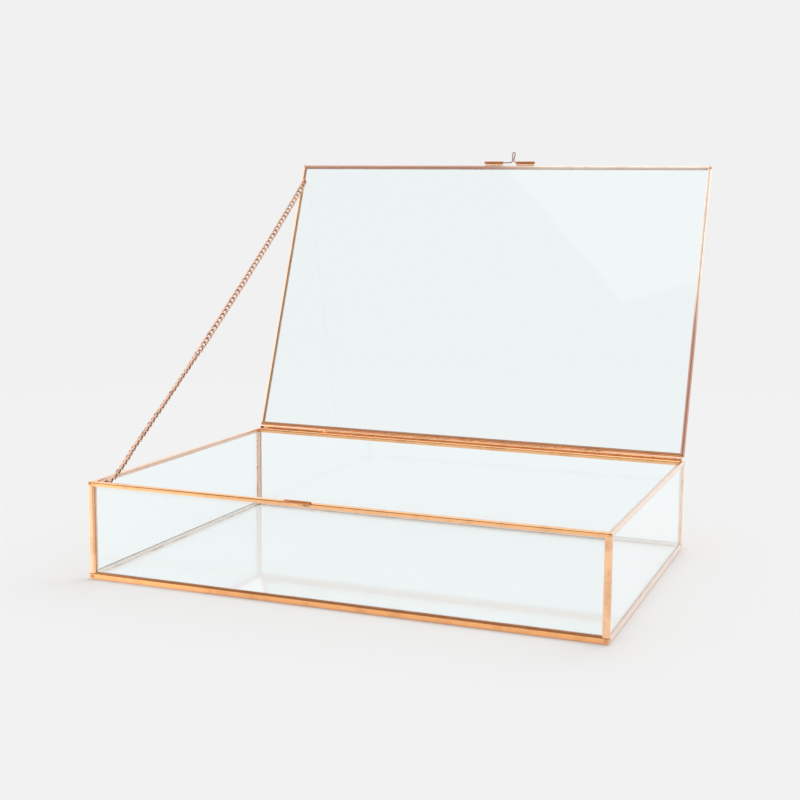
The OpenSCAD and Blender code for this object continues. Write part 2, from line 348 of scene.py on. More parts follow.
def node_box(node: str, turn: Matrix | None = None) -> tuple[Vector, Vector]:
    """Find the room that a CAD node takes.

    Args:
        node: The node's name.
        turn: A turn of the world that comes first.

    Returns:
        The lowest and the highest corner, in millimetres.
    """
    turn = turn or Matrix.Identity(4)
    points = [turn @ vert.co for vert in frame["nodes"][node].data.vertices]
    low = Vector([min(p[axis] for p in points) for axis in range(3)])
    high = Vector([max(p[axis] for p in points) for axis in range(3)])
    return low / MM, high / MM


# ---- Finishes ----


class Shader:
    """A node tree, with short ways to add and wire nodes.

    Attributes:
        tree: The node tree.
    """

    def __init__(self, tree: bpy.types.NodeTree) -> None:
        """Take over an empty node tree."""
        self.tree = tree

    def node(
        self, kind: str, inputs: dict[str | int, object] | None = None, **settings: object
    ) -> bpy.types.Node:
        """Add a node.

        Args:
            kind: The node's type name.
            inputs: Values, or output sockets to link, by input name or number.
            settings: Properties of the node.

        Returns:
            The new node.
        """
        made = self.tree.nodes.new(kind)
        for name, value in settings.items():
            setattr(made, name, value)
        for key, value in (inputs or {}).items():
            self.feed(made.inputs[key], value)
        return made

    def feed(self, socket: bpy.types.NodeSocket, value: object) -> None:
        """Give an input socket its value.

        Args:
            socket: The input socket.
            value: A value, or an output socket to link.
        """
        if isinstance(value, bpy.types.NodeSocket):
            self.tree.links.new(value, socket)
        else:
            socket.default_value = value

    def math(self, operation: str, *values: object) -> bpy.types.NodeSocket:
        """Add a Math node and return its result."""
        made = self.node("ShaderNodeMath", dict(enumerate(values)), operation=operation)
        return made.outputs[0]

    def noise(self, point: bpy.types.NodeSocket, scale: object, **inputs: float) -> bpy.types.NodeSocket:
        """Add a noise pattern.

        Args:
            point: Where the pattern is looked up.
            scale: How many of its patches there are to a metre.
            inputs: The other inputs, by name.

        Returns:
            The pattern's value.
        """
        sockets = {"Vector": point, "Scale": scale, **inputs}
        return self.node("ShaderNodeTexNoise", sockets).outputs["Fac"]

    def ramp(
        self, value: object, low: float, high: float, to_low: float = 0.0, to_high: float = 1.0
    ) -> bpy.types.NodeSocket:
        """Map a value from one range to another with smooth ends.

        Args:
            value: The value.
            low: Where the range of the value starts.
            high: Where it ends.
            to_low: What the start becomes.
            to_high: What the end becomes.

        Returns:
            The mapped value.
        """
        inputs = {0: value, 1: low, 2: high, 3: to_low, 4: to_high}
        made = self.node("ShaderNodeMapRange", inputs, interpolation_type="SMOOTHSTEP")
        return made.outputs[0]

    def mix(self, factor: object, first: object, second: object) -> bpy.types.NodeSocket:
        """Mix two colours.

        Args:
            factor: Share of the second colour.
            first: The first colour.
            second: The second colour.

        Returns:
            The mixed colour.
        """
        made = self.node("ShaderNodeMix", data_type="RGBA")
        for socket, value in zip((made.inputs[0], made.inputs[6], made.inputs[7]), (factor, first, second)):
            self.feed(socket, value)
        return made.outputs[2]


def grey(value: float) -> Color:
    """A grey as a colour."""
    return (value, value, value, 1)


def new_material(name: str) -> tuple[bpy.types.Material, Shader]:
    """Make an empty node material.

    Args:
        name: Its name.

    Returns:
        The material and its shader.
    """
    material = bpy.data.materials.new(name)
    material.use_nodes = True
    material.node_tree.nodes.clear()
    return material, Shader(material.node_tree)


def new_group(name: str, inputs: dict[str, str], outputs: dict[str, str]) -> tuple[Shader, dict]:
    """Make an empty node group with its sockets.

    Args:
        name: Its name.
        inputs: The kinds of its inputs, by label.
        outputs: The kinds of its outputs, by label.

    Returns:
        The group's shader and its inputs, by label.
    """
    tree = bpy.data.node_groups.new(name, "ShaderNodeTree")
    for in_out, sockets in (("INPUT", inputs), ("OUTPUT", outputs)):
        for label, kind in sockets.items():
            tree.interface.new_socket(label, in_out=in_out, socket_type="NodeSocket" + kind)
    shader = Shader(tree)
    given = shader.node("NodeGroupInput").outputs
    return shader, {label: given[label] for label in inputs}


@dataclass(frozen=True)
class Plating:
    """Node group for hand-polished plating: tarnish in patches and specks, painted shade, and fine
    unevenness.

    Attributes:
        name: The group's name.
        specks_per_patch: How much finer the specks are than the patches.
        stain_range: Values of the patches between which they turn dull.
        speck_range: Values of the specks between which they turn dull.
        speck_height: Share of the specks in the unevenness.
        least_roughness: Roughness below which the gloss doesn't go.
    """

    name: str = "Hand polished plating"
    specks_per_patch: float = 9.0
    stain_range: tuple[float, float] = (0.45, 0.72)
    speck_range: tuple[float, float] = (0.68, 0.76)
    speck_height: float = 0.3
    least_roughness: float = 0.04

    def group(self) -> bpy.types.NodeTree:
        """Build the group, or return the one built before.

        Returns:
            The node group.
        """
        if self.name in bpy.data.node_groups:
            return bpy.data.node_groups[self.name]
        inputs = {"Bright": "Color", "Tarnish": "Color"}
        for label in ("Painted Shade", "Patch Scale", "Patch Amount", "Roughness", "Spread"):
            inputs[label] = "Float"
        outputs = {"Color": "Color", "Roughness": "Float", "Height": "Float"}
        shader, given = new_group(self.name, inputs, outputs)
        point = shader.node("ShaderNodeTexCoord").outputs["Object"]
        patches = shader.noise(point, given["Patch Scale"], Detail=5.0, Roughness=0.6)
        speck_scale = shader.math("MULTIPLY", given["Patch Scale"], self.specks_per_patch)
        specks = shader.noise(point, speck_scale, Detail=2.0)
        stain = shader.math("MULTIPLY", shader.ramp(patches, *self.stain_range), given["Patch Amount"])
        dots = shader.math("MULTIPLY", shader.ramp(specks, *self.speck_range), given["Patch Amount"])
        # The mesh attribute adds painted shade, in the tarnish colour.
        marks = shader.math("MAXIMUM", shader.math("ADD", stain, dots), given["Painted Shade"])
        tarnish_and_shade = shader.math("MINIMUM", marks, 1.0)
        color = shader.mix(tarnish_and_shade, given["Bright"], given["Tarnish"])
        swing = shader.math("MULTIPLY", shader.math("SUBTRACT", patches, 0.5), given["Spread"])
        rough = shader.math("ADD", given["Roughness"], swing)
        rough = shader.math("MAXIMUM", rough, self.least_roughness)
        height = shader.math("ADD", patches, shader.math("MULTIPLY", specks, self.speck_height))
        shader.node("NodeGroupOutput", {"Color": color, "Roughness": rough, "Height": height})
        return shader.tree


@dataclass(frozen=True)
class Handling:
    """Node group for clean glass: faint wiping marks in the gloss and the slow ripple of float glass.

    Attributes:
        name: The group's name.
        wipe_scale: How many wiping marks there are to a metre.
        wipe_range: Values of the pattern between which a mark shows.
        ripple_scale: How many ripples there are to a metre.
    """

    name: str = "Wiped glass"
    wipe_scale: float = 14.0
    wipe_range: tuple[float, float] = (0.5, 0.8)
    ripple_scale: float = 6.0

    def group(self) -> bpy.types.NodeTree:
        """Build the group, or return the one built before.

        Returns:
            The node group.
        """
        if self.name in bpy.data.node_groups:
            return bpy.data.node_groups[self.name]
        shader, given = new_group(
            self.name, {"Haze": "Float", "Marks": "Float"}, {"Roughness": "Float", "Height": "Float"}
        )
        point = shader.node("ShaderNodeTexCoord").outputs["Object"]
        wipes = shader.noise(point, self.wipe_scale, Detail=4.0, Distortion=1.2)
        ripple = shader.noise(point, self.ripple_scale, Detail=1.0)
        marks = shader.math("MULTIPLY", shader.ramp(wipes, *self.wipe_range), given["Marks"])
        rough = shader.math("ADD", marks, given["Haze"])
        shader.node("NodeGroupOutput", {"Roughness": rough, "Height": ripple})
        return shader.tree


@dataclass(frozen=True)
class MetalFinish:
    """A rose-gold plated finish.

    Attributes:
        name: The material's name.
        slot: The record's slot that it belongs to; not used.
        bright: Colour of the polished plating.
        tarnish: Colour where the plating has dulled, and of painted shade.
        patch_scale: How many patches there are to a metre.
        patch_amount: How strong the patches are.
        roughness: Mean roughness.
        spread: How far the roughness swings.
        unevenness: Depth of the fine unevenness, in metres.
        bumps: How strongly the unevenness shows.
        lacquer: Strength of the clear lacquer over the plating.
        lacquer_roughness: Roughness of the lacquer.
        metallic: 1 for metal and 0 for what fills a slot.
    """

    name: str
    slot: Slot
    bright: Color
    tarnish: Color
    patch_scale: float = 90.0
    patch_amount: float = 0.3
    roughness: float = 0.13
    spread: float = 0.1
    unevenness: float = 0.00004
    bumps: float = 0.35
    lacquer: float = 0.8
    lacquer_roughness: float = 0.06
    metallic: float = 1.0

    def material(self) -> bpy.types.Material:
        """Build the material, or return the one built before.

        Returns:
            The material.
        """
        if self.name in bpy.data.materials:
            return bpy.data.materials[self.name]
        material, shader = new_material(self.name)
        plating = shader.node("ShaderNodeGroup", node_tree=Plating().group())
        # The mesh attribute that carries painted shade.
        painted_shade = shader.node("ShaderNodeAttribute", attribute_name=PAINTED_SHADE)
        values = (
            self.bright,
            self.tarnish,
            painted_shade.outputs["Fac"],
            self.patch_scale,
            self.patch_amount,
            self.roughness,
            self.spread,
        )
        for socket, value in zip(plating.inputs, values):
            shader.feed(socket, value)
        height = plating.outputs["Height"]
        bump = shader.node(
            "ShaderNodeBump", {"Strength": self.bumps, "Distance": self.unevenness, "Height": height}
        )
        metal = shader.node(
            "ShaderNodeBsdfPrincipled",
            {
                "Base Color": plating.outputs["Color"],
                "Metallic": self.metallic,
                "Roughness": plating.outputs["Roughness"],
                "Coat Weight": self.lacquer,
                "Coat Roughness": self.lacquer_roughness,
                "Normal": bump.outputs[0],
            },
        )
        shader.node("ShaderNodeOutputMaterial", {0: metal.outputs[0]})
        return material


@dataclass(frozen=True)
class GlassFinish:
    """Clear float glass.

    Attributes:
        name: The material's name.
        slot: The record's slot that it belongs to; not used.
        tint: Colour of the glass.
        shade: Colour that light keeps on its way through to what lies behind.
        marks: Strength of the wiping marks in the gloss.
        haze: Roughness between the marks, from fine scratches.
        bending: Index of refraction, which also sets the strength of the mirror images.
        ripple: How strongly the ripple of the glass shows.
        ripple_depth: Depth of the ripple, in metres.
    """

    name: str
    slot: Slot
    tint: Color
    shade: Color
    marks: float = 0.02
    haze: float = 0.0
    bending: float = 1.46
    ripple: float = 0.05
    ripple_depth: float = 0.0002

    def material(self) -> bpy.types.Material:
        """Build the material, or return the one built before.

        Returns:
            The material.
        """
        if self.name in bpy.data.materials:
            return bpy.data.materials[self.name]
        material, shader = new_material(self.name)
        wiped = shader.node("ShaderNodeGroup", node_tree=Handling().group())
        wiped.inputs["Marks"].default_value = self.marks
        wiped.inputs["Haze"].default_value = self.haze
        height = wiped.outputs["Height"]
        ripple = shader.node(
            "ShaderNodeBump", {"Strength": self.ripple, "Distance": self.ripple_depth, "Height": height}
        )
        glass = shader.node(
            "ShaderNodeBsdfPrincipled",
            {
                "Base Color": self.tint,
                "Metallic": 0.0,
                "IOR": self.bending,
                "Transmission Weight": 1.0,
                "Roughness": wiped.outputs["Roughness"],
                "Normal": ripple.outputs[0],
            },
        )
        clear = shader.node("ShaderNodeBsdfTransparent", {"Color": self.shade})
        path = shader.node("ShaderNodeLightPath").outputs
        unseen = shader.math("MAXIMUM", path["Is Shadow Ray"], path["Is Diffuse Ray"])
        both = shader.node("ShaderNodeMixShader", {0: unseen, 1: glass.outputs[0], 2: clear.outputs[0]})
        shader.node("ShaderNodeOutputMaterial", {0: both.outputs[0]})
        return material


CAME = MetalFinish(
    "Rose gold came", Slot.CAME, bright=(0.96, 0.52, 0.25, 1), tarnish=(0.5, 0.2, 0.08, 1), lacquer=0.4
)
BASE_CAME = replace(
    CAME,
    name="Deep rose gold came",
    bright=(0.94, 0.45, 0.18, 1),
    tarnish=(0.44, 0.16, 0.06, 1),
    lacquer=0.3,
)
# Painted highlight: a paler copy of the came, so that the lid's rails gleam near white.
LID_CAME = MetalFinish(
    "Light rose gold came", Slot.CAME, bright=(0.97, 0.68, 0.47, 1), tarnish=(0.6, 0.3, 0.15, 1)
)
POST_CAME = replace(
    LID_CAME,
    name="Rose gold posts",
    bright=(0.95, 0.57, 0.33, 1),
    tarnish=(0.56, 0.24, 0.1, 1),
    patch_amount=0.45,
)
SIDE_CAME = replace(
    LID_CAME,
    name="Pale rose gold came",
    bright=(0.82, 0.57, 0.43, 1),
    tarnish=(0.6, 0.36, 0.25, 1),
    roughness=0.18,
)
# Painted highlight and painted shade on the lid's front and right rails: near white at the free right
# corner, where the soft box at the upper right gleams in them, and darker away from it.
HIGHLIT_LID_CAME = replace(
    LID_CAME,
    name="Lid came with painted highlight",
    bright=(1.0, 0.86, 0.74, 1),
    tarnish=(0.6, 0.34, 0.26, 1),
    roughness=0.4,
    lacquer=0.0,
)
# Painted shade: a dark copy of the came for the lower lip of the lid's back rail, so that its bright edge
# above the hinge does not show.
SHADED_LIP = replace(
    CAME,
    name="Lip with painted shade",
    bright=(0.42, 0.22, 0.14, 1),
    tarnish=(0.3, 0.14, 0.08, 1),
    roughness=0.35,
    lacquer=0.0,
)
# Painted shade: a darker copy of the posts' came for the forward faces of the left front post that roll to
# the pane.
SHADED_POST = replace(
    POST_CAME, name="Post with painted shade", bright=(0.78, 0.4, 0.21, 1), tarnish=(0.45, 0.2, 0.1, 1)
)
# Painted light: a pale copy of the came for the faces of the base that look up or into the tray, which
# otherwise show dark from shade.
LIT_INNER_CAME = replace(
    LID_CAME,
    name="Inner came with painted light",
    bright=(0.9, 0.8, 0.72, 1),
    tarnish=(0.66, 0.5, 0.42, 1),
    roughness=0.3,
)
# Painted light: the upper wall of a rail's slot, which lies in shade behind the pane, is drawn pale and
# matt.
LIT_SLOT_WALL = replace(
    LIT_INNER_CAME,
    name="Slot wall with painted light",
    bright=(0.95, 0.74, 0.62, 1),
    tarnish=(0.85, 0.6, 0.48, 1),
    roughness=0.6,
    lacquer=0.0,
    metallic=0.0,
)
SOLDER = MetalFinish(
    "Plated solder",
    Slot.SOLDER,
    bright=(0.82, 0.44, 0.22, 1),
    tarnish=(0.2, 0.09, 0.04, 1),
    patch_scale=420.0,
    patch_amount=1.5,
    roughness=0.16,
    unevenness=0.0001,
)
DARK_SOLDER = replace(
    SOLDER, name="Tarnished solder", bright=(0.62, 0.3, 0.14, 1), tarnish=(0.12, 0.05, 0.03, 1)
)
WIPED_SOLDER = replace(
    SOLDER,
    name="Wiped solder",
    bright=(1.0, 0.8, 0.6, 1),
    tarnish=(0.8, 0.42, 0.22, 1),
    patch_amount=0.5,
    roughness=0.45,
)
TUBE = MetalFinish(
    "Plated tube",
    Slot.FITTINGS,
    bright=(0.6, 0.23, 0.08, 1),
    tarnish=(0.26, 0.1, 0.04, 1),
    patch_scale=240.0,
    patch_amount=0.5,
    roughness=0.2,
    lacquer=0.4,
)
HINGE_TUBE = replace(
    TUBE, name="Hinge tube", bright=(0.88, 0.45, 0.2, 1), tarnish=(0.45, 0.2, 0.09, 1)
)
WIRE = MetalFinish(
    "Bare wire",
    Slot.FITTINGS,
    bright=(0.42, 0.31, 0.29, 1),
    tarnish=(0.2, 0.13, 0.12, 1),
    patch_scale=180.0,
    roughness=0.2,
    lacquer=0.3,
)
# Its tarnish colour is also the painted shade on the inner side of each link.
CHAIN = MetalFinish(
    "Plated curb chain",
    Slot.CHAIN,
    bright=(0.82, 0.52, 0.38, 1),
    tarnish=(0.1, 0.045, 0.03, 1),
    patch_scale=260.0,
    patch_amount=0.6,
    roughness=0.12,
    spread=0.08,
    lacquer=0.3,
)
GLASS = GlassFinish(
    "Clear float glass", Slot.GLASS, tint=(0.993, 1.0, 0.99, 1), shade=(0.992, 0.997, 0.99, 1)
)
USED_GLASS = replace(
    GLASS, name="Clear glass with fine scratches", tint=(1, 1, 1, 1), haze=0.05, bending=1.25
)


def finish_piece(
    piece: bpy.types.Object,
    finish: MetalFinish | GlassFinish,
    body: Body,
    replaces: Iterable[str] = (),
    smooth_angle: float = SMOOTH_CAME,
) -> bpy.types.Object:
    """Dress a finished piece, let it ride on its body and log it.

    Args:
        piece: The piece, in its place in the world.
        finish: Its finish.
        body: The body that it moves with.
        replaces: The CAD nodes that it stands for.
        smooth_angle: Edges up to this angle, in degrees, are shaded smooth.

    Returns:
        The piece.
    """
    hold(piece)
    piece.data.materials.clear()
    piece.data.materials.append(finish.material())
    bpy.ops.object.shade_smooth_by_angle(angle=math.radians(smooth_angle))
    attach(piece, body.value)
    nodes = list(replaces)
    if nodes:
        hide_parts(*nodes)
    faces = len(piece.data.polygons)
    LOG.info("%s: %d faces on %s, for %s", piece.name, faces, body.value, nodes or "itself")
    return piece


def second_finish(
    piece: bpy.types.Object, finish: MetalFinish, test: Callable[[bpy.types.MeshPolygon], bool]
) -> None:
    """Give the faces of a dressed piece that pass a test another finish.

    Args:
        piece: The piece, in its place in the world.
        finish: The other finish.
        test: Says whether a face takes it.
    """
    piece.data.materials.append(finish.material())
    for face in piece.data.polygons:
        if test(face):
            face.material_index = len(piece.data.materials) - 1


# ---- Came ----


@dataclass(frozen=True)
class Strip:
    """Sizes of the folded metal strip, in millimetres.

    Attributes:
        wall: Thickness of the metal.
        slot: Width of the channel that a pane sits in.
        neck: Metal between the two channels of the corner came.
        fold: Reach of the rounding of a folded edge.
        fold_faces: Number of faces in that rounding.
        lips: How the face of a lip rolls in to the glass: pairs of the distance from its free edge and
            the depth there, from the free edge on.
        crown: How far the sides of a channel lean in towards its fold.
        step: Distance between the cuts along a bar that carry its unevenness.
        wobble: Depth of the unevenness.
        wobble_size: Size of its bumps and hollows.
    """

    wall: float = 0.45
    slot: float = 2.1
    neck: float = 0.4
    fold: float = 1.0
    fold_faces: int = 8
    lips: tuple[tuple[float, float], ...] = ((0.0, 0.38), (0.3, 0.24), (0.7, 0.1), (1.2, 0.0))
    crown: float = 0.0
    step: float = 8.0
    wobble: float = 0.09
    wobble_size: float = 12.0


@dataclass(frozen=True)
class Bar:
    """A straight bar of came in the place of a box.

    Attributes:
        name: The piece's name.
        low: Lowest corner of the box, in millimetres.
        high: Highest corner of the box.
        across: Direction across the bar from its outer face.
        depth: Direction from the fold into the channel.
        along: Direction that the bar runs in.
        mitre: How the ends are cut.
    """

    name: str
    low: Vector
    high: Vector
    across: Way
    depth: Way
    along: Way
    mitre: Mitre = Mitre.STRAIGHT

    def stretched(self, low_end: float, high_end: float) -> "Bar":
        """Make the same bar run from one place to another.

        Args:
            low_end: Where it starts on its axis.
            high_end: Where it ends.

        Returns:
            The new bar.
        """
        low, high = self.low.copy(), self.high.copy()
        low[self.along.axis], high[self.along.axis] = low_end, high_end
        return replace(self, low=low, high=high)

    def reach(self, way: Way) -> float:
        """Extent of the box in a direction."""
        return self.high[way.axis] - self.low[way.axis]

    def frame(self) -> Matrix:
        """Find where the bar's own axes (across, depth, along) lie.

        Returns:
            The matrix from them to the box's corner and axes.
        """
        matrix = Matrix.Identity(4)
        for column, way in enumerate((self.across, self.depth, self.along)):
            for row in range(3):
                matrix[row][column] = way.sign if row == way.axis else 0
            matrix[way.axis][3] = self.low[way.axis] if way.sign > 0 else self.high[way.axis]
        return matrix


class CameMaker:
    """Folds bars of came: channels for one pane, and corner came for two.

    Attributes:
        strip: Sizes of the strip that it folds.
    """

    def __init__(self, strip: Strip) -> None:
        """Keep the strip's sizes."""
        self.strip = strip

    @staticmethod
    def _sheet(name: str, wide: float, deep: float) -> bpy.types.Object:
        """Lay out a flat sheet, with its outer corner at the origin.

        Args:
            name: The piece's name.
            wide: Its extent across the bar.
            deep: Its extent along the bar's depth.

        Returns:
            The sheet, open in edit mode.
        """
        deselect()
        bpy.ops.mesh.primitive_plane_add(size=1, location=(0, 0, 0))
        piece = open_up(named(name))
        bpy.ops.transform.translate(value=(0.5, 0.5, 0))
        bpy.ops.transform.resize(value=(wide, deep, 1), center_override=(0, 0, 0))
        return piece

    @staticmethod
    def _hollow(piece: bpy.types.Object, low: tuple[float, float], high: tuple[float, float]) -> None:
        """Cut a rectangle out of the sheet.

        Args:
            piece: The sheet, open in edit mode.
            low: Lowest corner of the rectangle.
            high: Highest corner of the rectangle.
        """
        for value in (low[0], high[0]):
            cut((value, 0, 0), (1, 0, 0))
        for value in (low[1], high[1]):
            cut((0, value, 0), (0, 1, 0))
        pick(
            piece,
            Pick.FACES,
            lambda p: low[0] - NEAR < p.x < high[0] + NEAR and low[1] - NEAR < p.y < high[1] + NEAR,
        )
        bpy.ops.mesh.delete(type="FACE")
        bpy.ops.mesh.select_all(action="SELECT")
        bpy.ops.mesh.dissolve_limited(angle_limit=math.radians(1))

    def _roll_in(self, piece: bpy.types.Object, tip: Vector, along: Vector, inward: Vector) -> None:
        """Roll the face of a lip in towards its free edge.

        Args:
            piece: The sheet, open in edit mode.
            tip: Outer point of the free edge.
            along: Direction from the free edge along the face.
            inward: Direction from the face towards the glass.
        """
        for distance, _ in self.strip.lips[1:]:
            cut(tuple(tip + along * distance), tuple(along))
        for distance, depth in self.strip.lips:
            spot = tip + along * distance
            pick(piece, Pick.VERTS, lambda p, spot=spot: (p - spot).length < NEAR)
            bpy.ops.transform.translate(value=tuple(inward * depth))

    def _draw_out(
        self, piece: bpy.types.Object, length: float, folds: list[tuple[float, float]], mitre: Mitre
    ) -> None:
        """Extrude the sheet to a bar, round its folds and cut it across.

        Args:
            piece: The sheet, open in edit mode.
            length: Length of the bar.
            folds: Places in the section of the edges that are rounded.
            mitre: How both ends are cut. A slanting end slants by 45 degrees.
        """
        strip = self.strip
        bpy.ops.mesh.select_all(action="SELECT")
        bpy.ops.mesh.extrude_region_move(TRANSFORM_OT_translate={"value": (0, 0, length)})
        bpy.ops.mesh.select_all(action="SELECT")
        bpy.ops.mesh.normals_make_consistent(inside=False)
        pick(piece, Pick.EDGES, lambda p: any(math.hypot(p.x - x, p.y - y) < NEAR for x, y in folds))
        bpy.ops.mesh.bevel(offset=strip.fold, segments=strip.fold_faces, profile=0.5, affect="EDGES")
        count = max(3, round(length / strip.step))
        for number in range(1, count):
            cut((0, 0, length * number / count), (0, 0, 1))
        if mitre is not Mitre.STRAIGHT:
            slant = Vector((1, 0, 0)) if mitre is Mitre.ACROSS else Vector((0, 1, 0))
            cut((0, 0, 0), tuple(slant - Vector((0, 0, 1))), clear=True)
            cut((0, 0, length), tuple(slant + Vector((0, 0, 1))), clear=True)
        bpy.ops.object.mode_set(mode="OBJECT")
        for push in (Push.UP_X, Push.UP_Y):
            roughen(piece, strip.wobble, strip.wobble_size, push)

    def channel(self, bar: Bar) -> bpy.types.Object:
        """Fold a channel for one pane.

        Args:
            bar: The bar that it makes.

        Returns:
            The channel, in the bar's own axes.
        """
        strip = self.strip
        wide, deep = bar.reach(bar.across), bar.reach(bar.depth)
        piece = self._sheet(bar.name, wide, deep)
        self._hollow(piece, (strip.wall, strip.wall), (wide - strip.wall, deep))
        up = Vector((0, -1, 0))
        self._roll_in(piece, Vector((0, deep, 0)), up, Vector((1, 0, 0)))
        self._roll_in(piece, Vector((wide, deep, 0)), up, Vector((-1, 0, 0)))
        folds = [(strip.crown, 0.0), (wide - strip.crown, 0.0)]
        for corner, (lean_to, _) in zip((0.0, wide), folds):
            pick(piece, Pick.VERTS, lambda p, corner=corner: math.hypot(p.x - corner, p.y) < NEAR)
            bpy.ops.transform.translate(value=(lean_to - corner, 0, 0))
        self._draw_out(piece, bar.reach(bar.along), folds, bar.mitre)
        return piece

    def corner(self, bar: Bar) -> bpy.types.Object:
        """Fold a corner came for two panes, with its corner at the box's corner.

        Args:
            bar: The bar that it makes.

        Returns:
            The corner came, in the bar's own axes.
        """
        strip = self.strip
        wide, deep = bar.reach(bar.across), bar.reach(bar.depth)
        inner = strip.wall + strip.slot
        start_of_pane = inner + strip.neck
        piece = self._sheet(bar.name, wide, deep)
        self._hollow(piece, (start_of_pane, strip.wall), (wide, inner))
        self._hollow(piece, (strip.wall, start_of_pane), (inner, deep))
        self._roll_in(piece, Vector((wide, 0, 0)), Vector((-1, 0, 0)), Vector((0, 1, 0)))
        self._roll_in(piece, Vector((0, deep, 0)), Vector((0, -1, 0)), Vector((1, 0, 0)))
        self._draw_out(piece, bar.reach(bar.along), [(0, 0)], bar.mitre)
        return piece


# ---- Round work: tubes, wires, lumps of solder ----

# Number of sides of a tube, distance between its cuts and rounding of its ends, in millimetres.
TUBE_SIDES = 32
TUBE_STEP = 5.0
TUBE_EDGE = 0.12
# Depth and size of a tube's dents.
TUBE_DENTS = (0.03, 6.0)
# Distance between the cuts of a run of solder, rounding of its edges and size of its bumps.
RUN_STEP = 1.5
RUN_EDGE = 0.25
RUN_BUMPS = 3.0
# Number of pieces that a wire has between two of its points, and how finely it is rounded.
WIRE_PIECES = 8
WIRE_ROUNDING = 4


def cut_along(low: float, high: float, step: float, least: int = 1) -> None:
    """Cut the piece in edit mode along X into even lengths.

    Args:
        low: Where it starts.
        high: Where it ends.
        step: About how long the lengths are.
        least: The smallest number of lengths.
    """
    count = max(least, round((high - low) / step))
    for number in range(1, count):
        cut((low + (high - low) * number / count, 0, 0), (1, 0, 0))


def tube(
    name: str, low: float, high: float, radius: float, bore: float, squash: float = 1.0
) -> bpy.types.Object:
    """Model a tube along X about the origin's axis, with softened ends.

    Args:
        name: The piece's name.
        low: Where it starts along X.
        high: Where it ends.
        radius: Its outer radius.
        bore: The radius of its bore.
        squash: Height of the tube as a share of its width.

    Returns:
        The tube, in millimetres.
    """
    deselect()
    length = high - low
    bpy.ops.mesh.primitive_cylinder_add(
        vertices=TUBE_SIDES,
        radius=radius,
        depth=length,
        end_fill_type="NOTHING",
        rotation=(0, math.pi / 2, 0),
    )
    piece = named(name)
    bpy.ops.object.transform_apply(rotation=True)
    open_up(piece)
    cut_along(-length / 2, length / 2, TUBE_STEP, 2)
    bpy.ops.mesh.select_all(action="SELECT")
    bpy.ops.transform.resize(value=(1, 1, squash))
    bpy.ops.transform.translate(value=((low + high) / 2, 0, 0))
    bpy.ops.object.mode_set(mode="OBJECT")
    modify(piece, "SOLIDIFY", thickness=radius - bore, offset=-1.0)
    modify(piece, "BEVEL", width=TUBE_EDGE, segments=2, limit_method="ANGLE", angle_limit=SHARP)
    roughen(piece, *TUBE_DENTS)
    return piece


def block(name: str, low: Vector, high: Vector) -> bpy.types.Object:
    """Add a block that fills a box.

    Args:
        name: The piece's name.
        low: Lowest corner of the box.
        high: Highest corner of the box.

    Returns:
        The block, open in edit mode, all selected.
    """
    deselect()
    bpy.ops.mesh.primitive_cube_add(size=1, location=(0, 0, 0))
    piece = open_up(named(name))
    bpy.ops.transform.resize(value=tuple(high - low))
    bpy.ops.transform.translate(value=tuple((low + high) / 2))
    return piece


def lump(
    name: str, low: Vector, high: Vector, round_off: float, depth: float = 0.3, size: float = 1.8
) -> bpy.types.Object:
    """Model a lump of solder that fills a box.

    Args:
        name: The piece's name.
        low: Lowest corner of the box.
        high: Highest corner of the box.
        round_off: Radius of its edges.
        depth: Depth of its unevenness.
        size: Size of its bumps.

    Returns:
        The lump, in millimetres.
    """
    piece = block(name, low, high)
    bpy.ops.mesh.subdivide(number_cuts=2)
    bpy.ops.object.mode_set(mode="OBJECT")
    modify(piece, "BEVEL", width=round_off, segments=3, limit_method="ANGLE", angle_limit=SHARP)
    modify(piece, "SUBSURF", levels=1, render_levels=1)
    roughen(piece, depth, size)
    return piece


def run_of_solder(
    name: str, low: Vector, high: Vector, depth: float, slope: float = 0.0
) -> bpy.types.Object:
    """Model a run of solder along X that fills a box.

    Args:
        name: The piece's name.
        low: Lowest corner of the box.
        high: Highest corner of the box.
        depth: Depth of its unevenness.
        slope: How far its lowest edge at low Y is moved up, so that the face below it slants.

    Returns:
        The run, in millimetres.
    """
    piece = block(name, low, high)
    pick(piece, Pick.VERTS, lambda p: p.y < low.y + NEAR and p.z < low.z + NEAR)
    bpy.ops.transform.translate(value=(0, 0, slope))
    cut_along(low.x, high.x, RUN_STEP)
    bpy.ops.object.mode_set(mode="OBJECT")
    modify(piece, "BEVEL", width=RUN_EDGE, segments=2, limit_method="ANGLE", angle_limit=SHARP)
    roughen(piece, depth, RUN_BUMPS)
    return piece


def wire(name: str, points: list[Vector], radius: float) -> bpy.types.Object:
    """Bend a round wire through points.

    Args:
        name: The piece's name.
        points: The points that the wire's middle runs through.
        radius: The wire's radius.

    Returns:
        The wire as a mesh, in millimetres.
    """
    deselect()
    bpy.ops.curve.primitive_nurbs_path_add()
    curve = bpy.context.object
    curve.name = name
    curve.data.splines.clear()
    spline = curve.data.splines.new("BEZIER")
    spline.bezier_points.add(len(points) - 1)
    for point, knot in zip(points, spline.bezier_points):
        knot.co = point
        knot.handle_left_type = "AUTO"
        knot.handle_right_type = "AUTO"
    curve.data.resolution_u = WIRE_PIECES
    curve.data.bevel_depth = radius
    curve.data.bevel_resolution = WIRE_ROUNDING
    curve.data.use_fill_caps = True
    hold(curve)
    bpy.ops.object.convert(target="MESH")
    piece = open_up(bpy.context.object)
    bpy.ops.mesh.remove_doubles(threshold=NEAR)
    bpy.ops.object.mode_set(mode="OBJECT")
    return piece


# ---- The lid's turn ----


